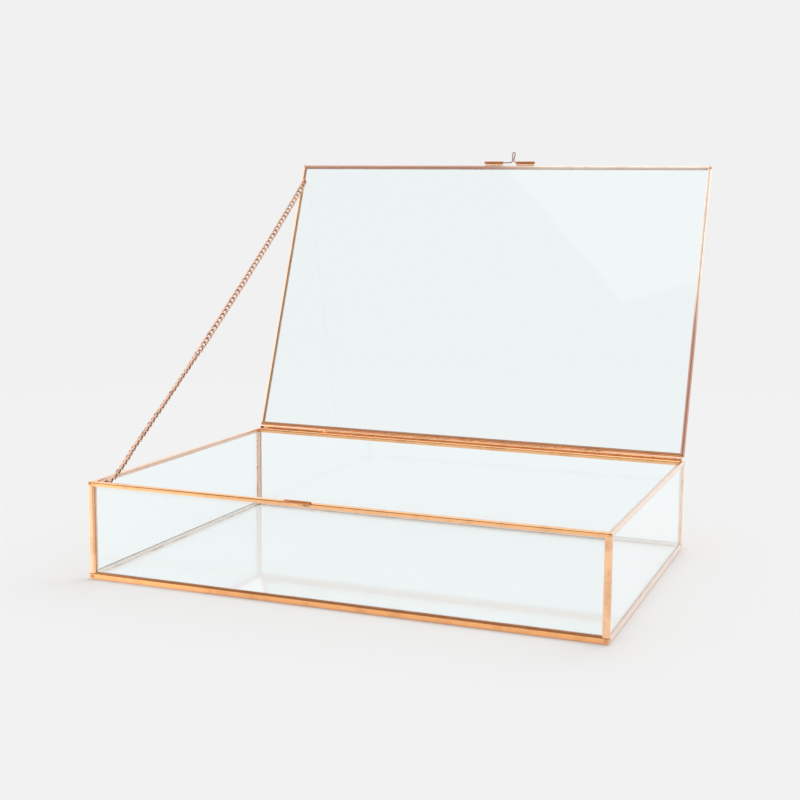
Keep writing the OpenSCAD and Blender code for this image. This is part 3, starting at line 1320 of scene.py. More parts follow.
@dataclass(frozen=True)
class LidTurn:
    """The turn between the closed lid, in which it is modelled, and the open lid at rest.

    Attributes:
        to_open: From the closed lid's place to the open one's.
        to_closed: The way back.
    """

    to_open: Matrix
    to_closed: Matrix

    @classmethod
    def from_joint(cls, joint: dict) -> "LidTurn":
        """Work the turn out from the lid's hinge.

        Args:
            joint: The hinge, from the record.

        Returns:
            The turn.
        """
        pivot = Matrix.Translation(Vector(joint["pos_m"]))
        angle = math.radians(joint["range_deg"][1])
        turn = pivot @ Matrix.Rotation(-angle, 4, "X") @ pivot.inverted()
        return cls(turn, turn.inverted())


def joint_named(name: str) -> dict:
    """The record's joint of that name."""
    return next(joint for joint in frame["joints"] if joint["name"] == name)


def eased(share: float) -> float:
    """Hold a share between 0 and 1, with smooth ends."""
    share = min(max(share, 0.0), 1.0)
    return share * share * (3 - 2 * share)


# ---- Sub-assemblies ----


@dataclass
class Tray:
    """The tray: panes, came, soldered corners and the keeper tube.

    Attributes:
        maker: Folds the came.
        post_let_in: How far the posts reach into the base and the rim.
        rim_joint: Size of the solder at the corners of the rim.
        rim_joint_drop: How far that solder reaches down below the rim.
        base_joint: Size of the solder at the corners of the base.
        base_joint_bottom: Height at which that solder starts.
        corner_round: Radius of the soldered corners.
        keeper_bore: Radius of the bore of the keeper tube.
        keeper_squash: Height of the keeper tube as a share of its width.
        dab_low: Lowest corner of the solder under the keeper: X from the tube's middle, Y from the
            rim's front and Z from the tube's axis.
        dab_high: Its highest corner: X from the tube's right end, Y and Z as before.
        turned_in: How far the faces that look into the tray are turned from the way out.
        looks: Least part of its normal that a face has in the direction that it looks in.
        rolled: Least part that the faces of a lip that roll in have sideways.
    """

    maker: CameMaker
    post_let_in: float = 0.5
    rim_joint: float = 3.3
    rim_joint_drop: float = 0.4
    base_joint: float = 4.0
    base_joint_bottom: float = 0.1
    corner_round: float = 1.35
    keeper_bore: float = 0.55
    keeper_squash: float = 0.94
    dab_low: Triple = (-0.5, -0.45, -2.2)
    dab_high: Triple = (-0.6, 0.3, -0.4)
    turned_in: float = -0.3
    looks: float = 0.5
    rolled: float = 0.1

    def build(self) -> None:
        """Build the tray's pieces."""
        self._rims()
        self._posts()
        self._base()
        rim_bottom = node_box("rim_front")[0].z - self.rim_joint_drop
        self._corners("solder_rim_corners", SOLDER, self.rim_joint, rim_bottom)
        self._corners("solder_bottom_corners", DARK_SOLDER, self.base_joint, self.base_joint_bottom)
        self._keeper()
        dress_pane("bottom_glass", USED_GLASS)
        for side in Side:
            dress_pane(side.value + "_glass", GLASS)

    def _rims(self) -> None:
        """Channels on the top edges of the upright panes."""
        outer = node_box("bottom_frame")[1]
        for side in Side:
            node = "rim_" + side.value
            bar = Bar(node + "_came", *node_box(node), side.inward, Way.DOWN, side.along, Mitre.ACROSS)
            end = outer[side.along.axis]
            bar = bar.stretched(-end, end)
            piece = place(self.maker.channel(bar), scaled_to_world() @ bar.frame())
            finish_piece(piece, CAME if side.along is Way.RIGHT else SIDE_CAME, Body.TRAY, [node])

    def _posts(self) -> None:
        """Upright corner came, from the base to the rim."""
        foot = node_box("bottom_frame")[1].z - self.post_let_in
        top = node_box("rim_front")[0].z + self.post_let_in
        for end in (Side.FRONT, Side.BACK):
            for side in (Side.LEFT, Side.RIGHT):
                node = f"post_{end.value}_{side.value}"
                bar = Bar(node + "_came", *node_box(node), side.inward, end.inward, Way.UP)
                bar = bar.stretched(foot, top)
                piece = place(self.maker.corner(bar), scaled_to_world() @ bar.frame())
                finish_piece(piece, POST_CAME, Body.TRAY, [node])
                second_finish(piece, SIDE_CAME, self._looks_in)
                # Painted shade on the left front post's forward faces that roll to the pane.
                if (end, side) == (Side.FRONT, Side.LEFT):
                    second_finish(piece, SHADED_POST, self._rolls_to_pane)

    def _base(self) -> None:
        """Corner came around the base, mitred at its corners."""
        low, high = node_box("bottom_frame")
        leg = high.z - low.z
        bars = []
        for side in Side:
            side_low, side_high = low.copy(), high.copy()
            axis = side.inward.axis
            if side.inward.sign > 0:
                side_high[axis] = low[axis] + leg
            else:
                side_low[axis] = high[axis] - leg
            name = "base_" + side.value
            bar = Bar(name, side_low, side_high, side.inward, Way.UP, side.along, Mitre.ACROSS)
            bars.append(place(self.maker.corner(bar), scaled_to_world() @ bar.frame()))
        base = finish_piece(join(bars, "base_came"), BASE_CAME, Body.TRAY, ["bottom_frame"])
        edge = (high.x - leg) * MM
        second_finish(base, SIDE_CAME, lambda face: abs(face.center.x) > edge)
        # Painted light: a pale finish on the faces that look up or into the tray.
        second_finish(base, LIT_INNER_CAME, lambda face: face.normal.z > self.looks or self._looks_in(face))

    def _looks_in(self, face: bpy.types.MeshPolygon) -> bool:
        """Whether a face looks into the tray."""
        out = Vector((face.center.x, face.center.y, 0)).normalized()
        return face.normal.dot(out) < self.turned_in

    def _rolls_to_pane(self, face: bpy.types.MeshPolygon) -> bool:
        """Whether a face of the left front post looks forward and rolls to the right, to the pane."""
        return face.normal.y < -self.looks and face.normal.x > self.rolled

    def _corners(self, node: str, finish: MetalFinish, wide: float, bottom: float) -> None:
        """Soldered joints at the four corners of the rim or the base.

        Args:
            node: The CAD node of the joints.
            finish: The solder's finish.
            wide: Size of a joint.
            bottom: Height at which it starts.
        """
        high = node_box(node)[1]
        lumps = []
        for x_side in (-1, 1):
            for y_side in (-1, 1):
                outer = Vector((high.x * x_side, high.y * y_side, bottom))
                inner = Vector((outer.x - wide * x_side, outer.y - wide * y_side, high.z))
                corner_low = Vector((min(outer.x, inner.x), min(outer.y, inner.y), bottom))
                corner_high = Vector((max(outer.x, inner.x), max(outer.y, inner.y), high.z))
                lumps.append(lump("lump", corner_low, corner_high, self.corner_round))
        piece = place(join(lumps, node.replace("corners", "lumps")), scaled_to_world())
        finish_piece(piece, finish, Body.TRAY, [node], SMOOTH_SOLDER)

    def _keeper(self) -> None:
        """The keeper tube on the front rim, with the solder that ran out under it."""
        low, high = node_box("keeper_tube")
        radius = (high.z - low.z) / 2
        axis = (low + high) / 2
        keeper = tube("keeper", low.x, high.x, radius, self.keeper_bore, self.keeper_squash)
        place(keeper, scaled_to_world(Matrix.Translation(Vector((0, axis.y, axis.z)) * MM)))
        finish_piece(keeper, TUBE, Body.TRAY, ["keeper_tube"])
        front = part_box("rim_front")[0].y / MM
        dab_low = Vector((axis.x, front, axis.z)) + Vector(self.dab_low)
        dab_high = Vector((high.x, front, axis.z)) + Vector(self.dab_high)
        dab = lump("keeper_solder", dab_low, dab_high, round_off=0.3, depth=0.25, size=1.0)
        place(dab, scaled_to_world())
        finish_piece(dab, SOLDER, Body.TRAY, smooth_angle=SMOOTH_SOLDER)


def dress_pane(node: str, finish: GlassFinish) -> None:
    """Give a pane its glass.

    Args:
        node: The pane's CAD node.
        finish: The glass.
    """
    pane = frame["nodes"][node]
    pane.data.materials.clear()
    pane.data.materials.append(finish.material())
    LOG.info("%s: dressed as %s", node, finish.name.lower())


@dataclass
class Lid:
    """The lid: its pane, rails and soldered corners, modelled closed and turned open.

    Attributes:
        maker: Folds the came.
        turn: The lid's turn.
        joint: Size of the solder at the lid's corners.
        joint_proud: How far the solder stands proud of the rails.
        joint_bumps: Depth of the solder's unevenness.
        corner_round: Radius of the soldered corners.
        pale_from: Where the painted highlight on the rails of the open lid begins: X on the front rail
        and Z on the right one, in metres.
        pale_reach: Distances from there to the free right corner.
        slot_wall: How far the faces of a slot's upper wall look down.
        free_lip: How far the faces of the back rail's lower lip that roll in look to the front.
    """

    maker: CameMaker
    turn: LidTurn
    joint: float = 3.0
    joint_proud: float = 0.1
    joint_bumps: float = 0.2
    corner_round: float = 1.2
    pale_from: tuple[float, float] = (0.01, 0.243)
    pale_reach: tuple[float, float] = (0.14, 0.094)
    slot_wall: float = -0.9
    free_lip: float = -0.1

    def build(self) -> None:
        """Build the lid's pieces."""
        low, high = node_box("solder_lid_corners", self.turn.to_closed)
        cames = {Side.BACK: CAME, Side.LEFT: LID_CAME}
        for side in Side:
            node = "lid_rail_" + side.value
            box = node_box(node, self.turn.to_closed)
            bar = Bar(node + "_came", *box, Way.UP, side.inward, side.along, Mitre.DEPTH)
            axis = side.along.axis
            bar = bar.stretched(low[axis] + self.joint_proud, high[axis] - self.joint_proud)
            piece = place(self.maker.channel(bar), scaled_to_world(self.turn.to_open) @ bar.frame())
            # The front and right rails get a painted highlight at the free right corner and painted shade
            # away from it.
            if side not in cames:
                self._paint_highlight(piece)
            finish_piece(piece, cames.get(side, HIGHLIT_LID_CAME), Body.LID, [node], SMOOTH_LIPS)
            middle = (bar.low.z + bar.high.z) / 2
            # Painted light on the slot's upper wall, and painted shade on the back rail's lower lip.
            second_finish(piece, LIT_SLOT_WALL, self._slot_wall_test(middle))
            if side is Side.BACK:
                second_finish(piece, SHADED_LIP, self._free_lip_test(middle))
        self._corners()
        dress_pane("lid_glass", GLASS)

    def _paint_highlight(self, piece: bpy.types.Object) -> None:
        """Note in a rail's mesh how much painted shade it takes: none at the free right corner, which keeps
        its pale painted highlight, and more away from it.

        Args:
            piece: The rail, in its place in the world.
        """
        painted_shade = piece.data.attributes.new(PAINTED_SHADE, "FLOAT", "POINT")
        for vert, depth in zip(piece.data.vertices, painted_shade.data):
            inside = (vert.co.x - self.pale_from[0]) / self.pale_reach[0]
            inside += (vert.co.z - self.pale_from[1]) / self.pale_reach[1]
            depth.value = eased(0.5 - 2 * inside)

    def _slot_wall_test(self, middle: float) -> Callable[[bpy.types.MeshPolygon], bool]:
        """Make a test for the faces of a rail's upper wall that the pane lets be seen from below.

        Args:
            middle: Height of the middle of the closed lid's rails, in millimetres.

        Returns:
            A test that says of a face of the open lid whether it is one of them.
        """
        place_turn, way_turn = self.turn.to_closed, self.turn.to_closed.to_3x3()
        return lambda face: (
            (place_turn @ face.center).z > middle * MM and (way_turn @ face.normal).z < self.slot_wall
        )

    def _free_lip_test(self, middle: float) -> Callable[[bpy.types.MeshPolygon], bool]:
        """Make a test for the faces of the back rail's lower lip that roll in to the glass.

        Args:
            middle: Height of the middle of the closed lid's rails, in millimetres.

        Returns:
            A test that says of a face of the open lid whether it is one of them.
        """
        place_turn, way_turn = self.turn.to_closed, self.turn.to_closed.to_3x3()
        return lambda face: (
            (place_turn @ face.center).z < middle * MM and (way_turn @ face.normal).y < self.free_lip
        )

    def _corners(self) -> None:
        """Soldered joints at the lid's corners."""
        low, high = node_box("solder_lid_corners", self.turn.to_closed)
        wide = self.joint
        lumps = []
        for x in (low.x, high.x - wide):
            for y in (low.y, high.y - wide):
                corner_low = Vector((x, y, low.z))
                corner_high = corner_low + Vector((wide, wide, high.z - low.z))
                lumps.append(lump("lump", corner_low, corner_high, self.corner_round, self.joint_bumps))
        piece = place(join(lumps, "solder_lid_lumps"), scaled_to_world(self.turn.to_open))
        finish_piece(piece, SOLDER, Body.LID, ["solder_lid_corners"], SMOOTH_SOLDER)


@dataclass
class Hinge:
    """The wire hinge behind the box.

    Attributes:
        turn: The lid's turn.
        radius: Outer radius of the tubes.
        bore: Radius of their bore.
        wire_radius: Radius of the wire.
        seam_heights: Heights from the axis between which a tube's solder lies.
        seam_inset: How far it stays back from the tube's ends.
        seam_back: How far in front of the axis it ends.
        seam_bumps: Depth of its unevenness.
        stop_radius: Radius of the solder that holds each end of the wire.
        stop_length: How far that solder reaches past the wire.
        stop_lap: How far it laps over the wire.
        stop_round: Rounding of its edges, as a share of its radius.
        stop_bumps: Depth of its unevenness.
    """

    turn: LidTurn
    radius: float = 1.15
    bore: float = 0.65
    wire_radius: float = 0.6
    seam_heights: tuple[float, float] = (0.3, 1.2)
    seam_inset: float = 0.2
    seam_back: float = 0.75
    seam_bumps: float = 0.35
    stop_radius: float = 0.95
    stop_length: float = 2.6
    stop_lap: float = 0.2
    stop_round: float = 0.8
    stop_bumps: float = 0.15

    def build(self) -> None:
        """Build the tubes, their solder and the wire."""
        axis = Vector(joint_named("lid_hinge")["pos_m"])
        for node in ("hinge_tube_left", "hinge_tube_right"):
            self._tube(node, axis, Body.TRAY, Matrix.Identity(4), -1)
        self._tube("hinge_tube_lid", axis, Body.LID, self.turn.to_open, 1)
        low, high = node_box("hinge_wire")
        pin = wire("hinge_pin", [Vector((x, 0, 0)) for x in (low.x, 0, high.x)], self.wire_radius)
        place(pin, scaled_to_world(Matrix.Translation(Vector((0, axis.y, axis.z)))))
        finish_piece(pin, CAME, Body.TRAY, ["hinge_wire"])
        self._stops(axis / MM, high.x)

    def _stops(self, axis: Vector, wire_end: float) -> None:
        """The solder that holds the two ends of the wire.

        Args:
            axis: A point of the hinge's axis.
            wire_end: Where the wire ends on the right.
        """
        stops = []
        for side in (-1, 1):
            ends = sorted(((wire_end - self.stop_lap) * side, (wire_end + self.stop_length) * side))
            stop_low = Vector((ends[0], axis.y - self.radius, axis.z - self.stop_radius))
            stop_high = Vector((ends[1], axis.y + self.stop_radius, axis.z + self.stop_radius))
            round_off = self.stop_radius * self.stop_round
            stops.append(lump("stop", stop_low, stop_high, round_off, self.stop_bumps))
        piece = place(join(stops, "hinge_pin_stops"), scaled_to_world())
        finish_piece(piece, SOLDER, Body.TRAY, smooth_angle=SMOOTH_SOLDER)

    def _tube(self, node: str, axis: Vector, body: Body, turn: Matrix, up: int) -> None:
        """One tube with its solder.

        Args:
            node: The CAD node.
            axis: A point of the hinge's axis, in metres.
            body: The body that the tube is soldered to.
            turn: The turn from the closed lid's place.
            up: 1 if the solder lies above the axis and -1 if below, with the lid closed.
        """
        low, high = node_box(node, turn.inverted())
        away = Matrix.Translation(Vector((0, axis.y, axis.z)))
        round_part = tube(node + "_round", low.x, high.x, self.radius, self.bore)
        place(round_part, scaled_to_world(turn @ away))
        finish_piece(round_part, HINGE_TUBE, body, [node])
        reach = axis.y / MM - low.y
        heights = sorted(height * up for height in self.seam_heights)
        seam_low = Vector((low.x + self.seam_inset, -reach, heights[0]))
        seam_high = Vector((high.x - self.seam_inset, -self.seam_back, heights[1]))
        seam = run_of_solder(node + "_seam", seam_low, seam_high, self.seam_bumps)
        place(seam, scaled_to_world(turn @ away))
        finish_piece(seam, SOLDER, body, smooth_angle=SMOOTH_SOLDER)


@dataclass
class Clasp:
    """The clasp on the lid's free edge: two tubes, and the wire loop that turns in them.

    Attributes:
        turn: The lid's turn.
        radius: Outer radius of the tubes.
        bore: Radius of their bore.
        wire_radius: Radius of the loop's wire.
        head: Half of the width of the loop at its round head, between wire centres.
        waist: Half of its width at the waist.
        rise: Height of the loop above the tubes' axis.
        shift: How far the loop was bent to the left.
        loop_ends: Length of the loop's wire that stays straight in each tube.
        web_inset: How far the tubes' solder stays back from their ends.
        web_low: Lowest Y and Z of that solder from the tubes' axis.
        web_high: How far it reaches into the rail, and its highest Z from the axis.
        web_bumps: Depth of its unevenness.
        web_slope: How far its face slants back towards the tube.
    """

    turn: LidTurn
    radius: float = 0.95
    bore: float = 0.48
    wire_radius: float = 0.43
    head: float = 0.9
    waist: float = 0.5
    rise: float = 8.1
    shift: float = -0.2
    loop_ends: float = 6.0
    web_inset: float = 0.3
    web_low: tuple[float, float] = (0.5, -0.3)
    web_high: tuple[float, float] = (0.3, 0.9)
    web_bumps: float = 0.12
    web_slope: float = 0.3

    def build(self) -> None:
        """Build the tubes and the loop."""
        axis = self.turn.to_closed @ Vector(joint_named("clasp_swing")["pos_m"])
        away = Matrix.Translation(Vector((0, axis.y, axis.z)))
        for node in ("clasp_tube_left", "clasp_tube_right"):
            low, high = node_box(node, self.turn.to_closed)
            round_part = tube(node + "_round", low.x, high.x, self.radius, self.bore)
            place(round_part, scaled_to_world(self.turn.to_open @ away))
            finish_piece(round_part, TUBE, Body.LID, [node])
            rail = high.y - axis.y / MM
            web_low = Vector((low.x + self.web_inset, *self.web_low))
            web_high = Vector((high.x - self.web_inset, rail + self.web_high[0], self.web_high[1]))
            web = run_of_solder(node + "_solder", web_low, web_high, self.web_bumps, self.web_slope)
            place(web, scaled_to_world(self.turn.to_open @ away))
            finish_piece(web, WIPED_SOLDER, Body.LID, smooth_angle=SMOOTH_SOLDER)
        self._loop(axis, away)

    def _loop(self, axis: Vector, away: Matrix) -> None:
        """The loop: a drop of wire whose ends run into the two tubes.

        Args:
            axis: A point of the tubes' axis, in metres, with the lid closed.
            away: The move from the origin to that axis.
        """
        low, high = node_box("clasp_loop", self.turn.to_closed)
        middle = axis.x / MM - self.shift
        # Along the tubes, and above their axis.
        outline = [
            (low.x, 0.0),
            (low.x + self.loop_ends, 0.0),
            (middle - 3.4, 0.0),
            (middle - 1.5, 0.1),
            (middle - 0.62, 0.85),
            (middle - self.waist, 2.3),
            (middle - 0.9 * self.head, 5.2),
            (middle - 0.95 * self.head, self.rise - 1.7),
            (middle, self.rise - self.wire_radius),
            (middle + self.head, self.rise - 1.7),
            (middle + 0.95 * self.head, 5.2),
            (middle + self.waist, 2.5),
            (middle + 0.8, 1.25),
            (middle + 1.7, 0.45),
            (middle + 3.2, 0.0),
            (high.x - self.loop_ends, 0.0),
            (high.x, 0.0),
        ]
        points = [Vector((x, -y, 0)) for x, y in outline]
        loop = wire("clasp_wire", points, self.wire_radius)
        place(loop, scaled_to_world(self.turn.to_open @ away))
        finish_piece(loop, WIRE, Body.LOOP, ["clasp_loop"])


@dataclass
class StayChain:
    """The stay chain: twisted curb links in two halves, and the eyes that hold its ends.

    Attributes:
        turn: The lid's turn.
        links: Number of links.
        wire_radius: Radius of a link's wire.
        half_width: Half of a link's width between wire centres.
        link_faces: Number of faces around a link and around its wire.
        link_cuts: Where its straight sides are cut so that they twist, as shares of their length.
        play: Play between two linked wires.
        twist: Twist of a link from end to end, in degrees.
        first_roll: Turn of the first link about the chain, in degrees.
        last_roll: Turn of the last link about the chain.
        turn_over: Shares of the chain between which it turns from the first roll to the last.
        slack: Sideways scatter of the links, in millimetres.
        roll_slack: Scatter of their rolls, in degrees.
        drift: How far it stands to the right of the eyes.
        drift_shape: How evenly it does so: 0 all along, and 1 mostly in the middle.
        sag: How far its middle hangs below the line between the eyes.
        bulge: How far the chain stands out of line just above the tray's eye.
        bulge_length: Length of the chain that it stands out over.
        tail: The loose links at the tray's eye: offset from the eye, and turns about X, Y and Z in
            degrees.
        eye_ring: Radius of an eye, to the middle of its wire.
        eye_wire: Radius of its wire.
        eye_start: Where its ring starts, in degrees up from the back.
        eye_turn: How far the ring goes round, in degrees.
        eye_steps: Number of steps that it takes.
        eye_bend: Where its leg bends: share of the leg's length, and height above the leg's end.
        eye_rise: Height of the tray's eye above the end of the chain.
        eye_let_in: How far the wire of the tray's and of the lid's eye runs into the came.
        foot: Length across, length along and depth below the eye of the solder at the lid's eye.
        dice: Source of the scatter.
    """

    turn: LidTurn
    links: int = 74
    wire_radius: float = 0.58
    half_width: float = 1.42
    link_faces: tuple[int, int] = (20, 8)
    link_cuts: tuple[float, float] = (-0.25, 0.25)
    play: float = 0.1
    twist: float = 70.0
    first_roll: float = 104.0
    last_roll: float = 38.0
    turn_over: tuple[float, float] = (0.33, 0.46)
    slack: float = 0.08
    roll_slack: float = 5.0
    drift: float = 0.9
    drift_shape: float = 0.4
    sag: float = 3.4
    bulge: float = 0.9
    bulge_length: float = 30.0
    tail: tuple[tuple[Triple, Triple], ...] = (
        ((-1.9, -0.6, 0.4), (20, 15, 60)),
        ((-0.8, -2.4, 0.2), (30, -15, 80)),
    )
    eye_ring: float = 1.0
    eye_wire: float = 0.38
    eye_start: float = 130.0
    eye_turn: float = 310.0
    eye_steps: int = 10
    eye_bend: tuple[float, float] = (0.4, 0.25)
    eye_rise: float = 0.5
    eye_let_in: tuple[float, float] = (0.2, 0.3)
    foot: Triple = (0.7, 1.5, 0.4)
    dice: random.Random = field(default_factory=lambda: random.Random(7))

    def build(self) -> None:
        """Build both halves and the eyes."""
        low_end = Vector(joint_named("chain_lower_swing")["pos_m"]) / MM
        high_end = Vector(joint_named("chain_upper_swing")["pos_m"]) / MM
        run = Vector((0, high_end.y - low_end.y, high_end.z - low_end.z))
        overlap = 2 * self.wire_radius + self.play
        pitch = (run.length - overlap) / self.links
        master = self._link(pitch + overlap)
        half = self.links // 2
        lower = [self._copy(master, i, low_end, high_end, pitch) for i in range(half)]
        upper = [self._copy(master, i, low_end, high_end, pitch) for i in range(half, self.links)]
        ends = [self._tail(master, low_end, spot, turn) for spot, turn in self.tail]
        finish_piece(join(ends, "chain_tail"), CHAIN, Body.TRAY, smooth_angle=SMOOTH_LINKS)
        bpy.data.objects.remove(master)
        for pieces, name, body in (
            (lower, "chain_links_lower", Body.CHAIN_LOWER),
            (upper, "chain_links_upper", Body.CHAIN_UPPER),
        ):
            finish_piece(join(pieces, name), CHAIN, body, [body.value], SMOOTH_LINKS)
        self._eyes(low_end, high_end)

    def _link(self, length: float) -> bpy.types.Object:
        """Model one link along X, centred, from a ring that is drawn out and twisted.

        Args:
            length: Its length between wire centres.

        Returns:
            The link, in millimetres.
        """
        deselect()
        bpy.ops.mesh.primitive_torus_add(
            major_radius=self.half_width,
            minor_radius=self.wire_radius,
            major_segments=self.link_faces[0],
            minor_segments=self.link_faces[1],
        )
        piece = open_up(named("link"))
        straight = length - 2 * self.half_width
        for side in (1, -1):
            pick(piece, Pick.VERTS, lambda p, side=side: p.x * side > NEAR)
            bpy.ops.transform.translate(value=(straight / 2 * side, 0, 0))
        for share in self.link_cuts:
            cut((straight * share, 0, 0), (1, 0, 0))
        bpy.ops.object.mode_set(mode="OBJECT")
        # Painted shade: the inner side of the link, towards its hole, takes the tarnish colour.
        painted_shade = piece.data.attributes.new(PAINTED_SHADE, "FLOAT", "POINT")
        for vert, depth in zip(piece.data.vertices, painted_shade.data):
            out = math.hypot(max(abs(vert.co.x) - straight / 2, 0.0), vert.co.y)
            depth.value = min(max((self.half_width - out) / self.wire_radius, 0.0), 1.0)
        twist = math.radians(self.twist)
        modify(piece, "SIMPLE_DEFORM", deform_method="TWIST", deform_axis="X", angle=twist)
        return piece

    def _copy(
        self,
        master: bpy.types.Object,
        number: int,
        low_end: Vector,
        high_end: Vector,
        pitch: float,
    ) -> bpy.types.Object:
        """Copy the link to its place in the chain.

        Args:
            master: The modelled link.
            number: The link's number, from the tray's eye.
            low_end: The tray's eye.
            high_end: The lid's eye.
            pitch: Distance between two links.

        Returns:
            The copy, in the world.
        """
        share = number / (self.links - 1)
        run = Vector((0, high_end.y - low_end.y, high_end.z - low_end.z))
        overlap = 2 * self.wire_radius + self.play
        along = number * pitch + (pitch + overlap) / 2
        spot = low_end + run.normalized() * along
        spot.x += (high_end.x - low_end.x) * share + self.dice.uniform(-self.slack, self.slack)
        spot.x += self.bulge * math.sin(math.pi * min(along / self.bulge_length, 1.0))
        spot.x += self.drift * math.sin(math.pi * share) ** self.drift_shape
        spot.z -= self.sag * 4 * share * (1 - share)
        start, end = self.turn_over
        roll = self.first_roll + (self.last_roll - self.first_roll) * eased((share - start) / (end - start))
        roll += self.dice.uniform(-self.roll_slack, self.roll_slack)
        heading = math.atan2(run.z, run.y)
        aim = Matrix.Rotation(math.pi / 2, 4, "Z") @ Matrix.Rotation(-heading, 4, "Y")
        matrix = Matrix.Translation(spot) @ aim @ Matrix.Rotation(math.radians(roll), 4, "X")
        return place(copy_of(master), scaled_to_world() @ matrix)

    @staticmethod
    def _tail(master: bpy.types.Object, eye: Vector, offset: Triple, turns: Triple) -> bpy.types.Object:
        """Copy the link as a loose one beside the tray's eye.

        Args:
            master: The modelled link.
            eye: The tray's eye.
            offset: The link's place from the eye.
            turns: Its turns about X, Y and Z, in degrees.

        Returns:
            The copy, in the world.
        """
        rotation = Euler([math.radians(angle) for angle in turns]).to_matrix().to_4x4()
        matrix = Matrix.Translation(eye + Vector(offset)) @ rotation
        return place(copy_of(master), scaled_to_world() @ matrix)

    def _eyes(self, low_end: Vector, high_end: Vector) -> None:
        """The wire eyes of the tray and the lid.

        Args:
            low_end: The end of the chain at the tray.
            high_end: Its end at the lid.
        """
        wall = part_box("rim_left")[1].x / MM
        tray_points = self._eye_points(wall - low_end.x - self.eye_let_in[0])
        eye = wire("tray_eye", tray_points, self.eye_wire)
        place(eye, scaled_to_world(Matrix.Translation((low_end + Vector((0, 0, self.eye_rise))) * MM)))
        finish_piece(eye, TUBE, Body.TRAY, ["tray_chain_eye"])
        closed_end = self.turn.to_closed @ (high_end * MM)
        low, high = node_box("lid_chain_eye", self.turn.to_closed)
        lid_points = self._eye_points(low.x + self.eye_let_in[1] - high_end.x)
        eye = wire("lid_eye", lid_points, self.eye_wire)
        place(eye, scaled_to_world(self.turn.to_open @ Matrix.Translation(closed_end)))
        finish_piece(eye, TUBE, Body.LID, ["lid_chain_eye"])
        across, along, drop = self.foot
        foot_low = Vector((low.x, low.y, closed_end.z / MM - drop))
        foot_high = Vector((low.x + across, low.y + along, high.z))
        foot = lump("lid_eye_solder", foot_low, foot_high, round_off=0.25, depth=0.15, size=1.0)
        place(foot, scaled_to_world(self.turn.to_open))
        finish_piece(foot, SOLDER, Body.LID, smooth_angle=SMOOTH_SOLDER)

    def _eye_points(self, leg: float) -> list[Vector]:
        """Lay out an eye: nearly a full ring about X, whose end runs off to the side.

        Args:
            leg: How far along X its end runs.

        Returns:
            The points of its wire.
        """
        ring = self.eye_ring
        share, height = self.eye_bend
        points = []
        for number in range(self.eye_steps + 1):
            angle = math.radians(self.eye_start - self.eye_turn * number / self.eye_steps)
            points.append(Vector((0, ring * math.cos(angle), ring * math.sin(angle))))
        points.append(Vector((leg * share, -ring, height)))
        points.append(Vector((leg, -ring, 0)))
        return points


# ---- Studio ----


@dataclass(frozen=True)
class Patch:
    """A part of the surroundings, around a direction.

    Attributes:
        way: The direction.
        starts: Cosine of the angle to it at which the part starts.
        full: Cosine of the angle at which it shows in full.
    """

    way: Triple
    starts: float
    full: float


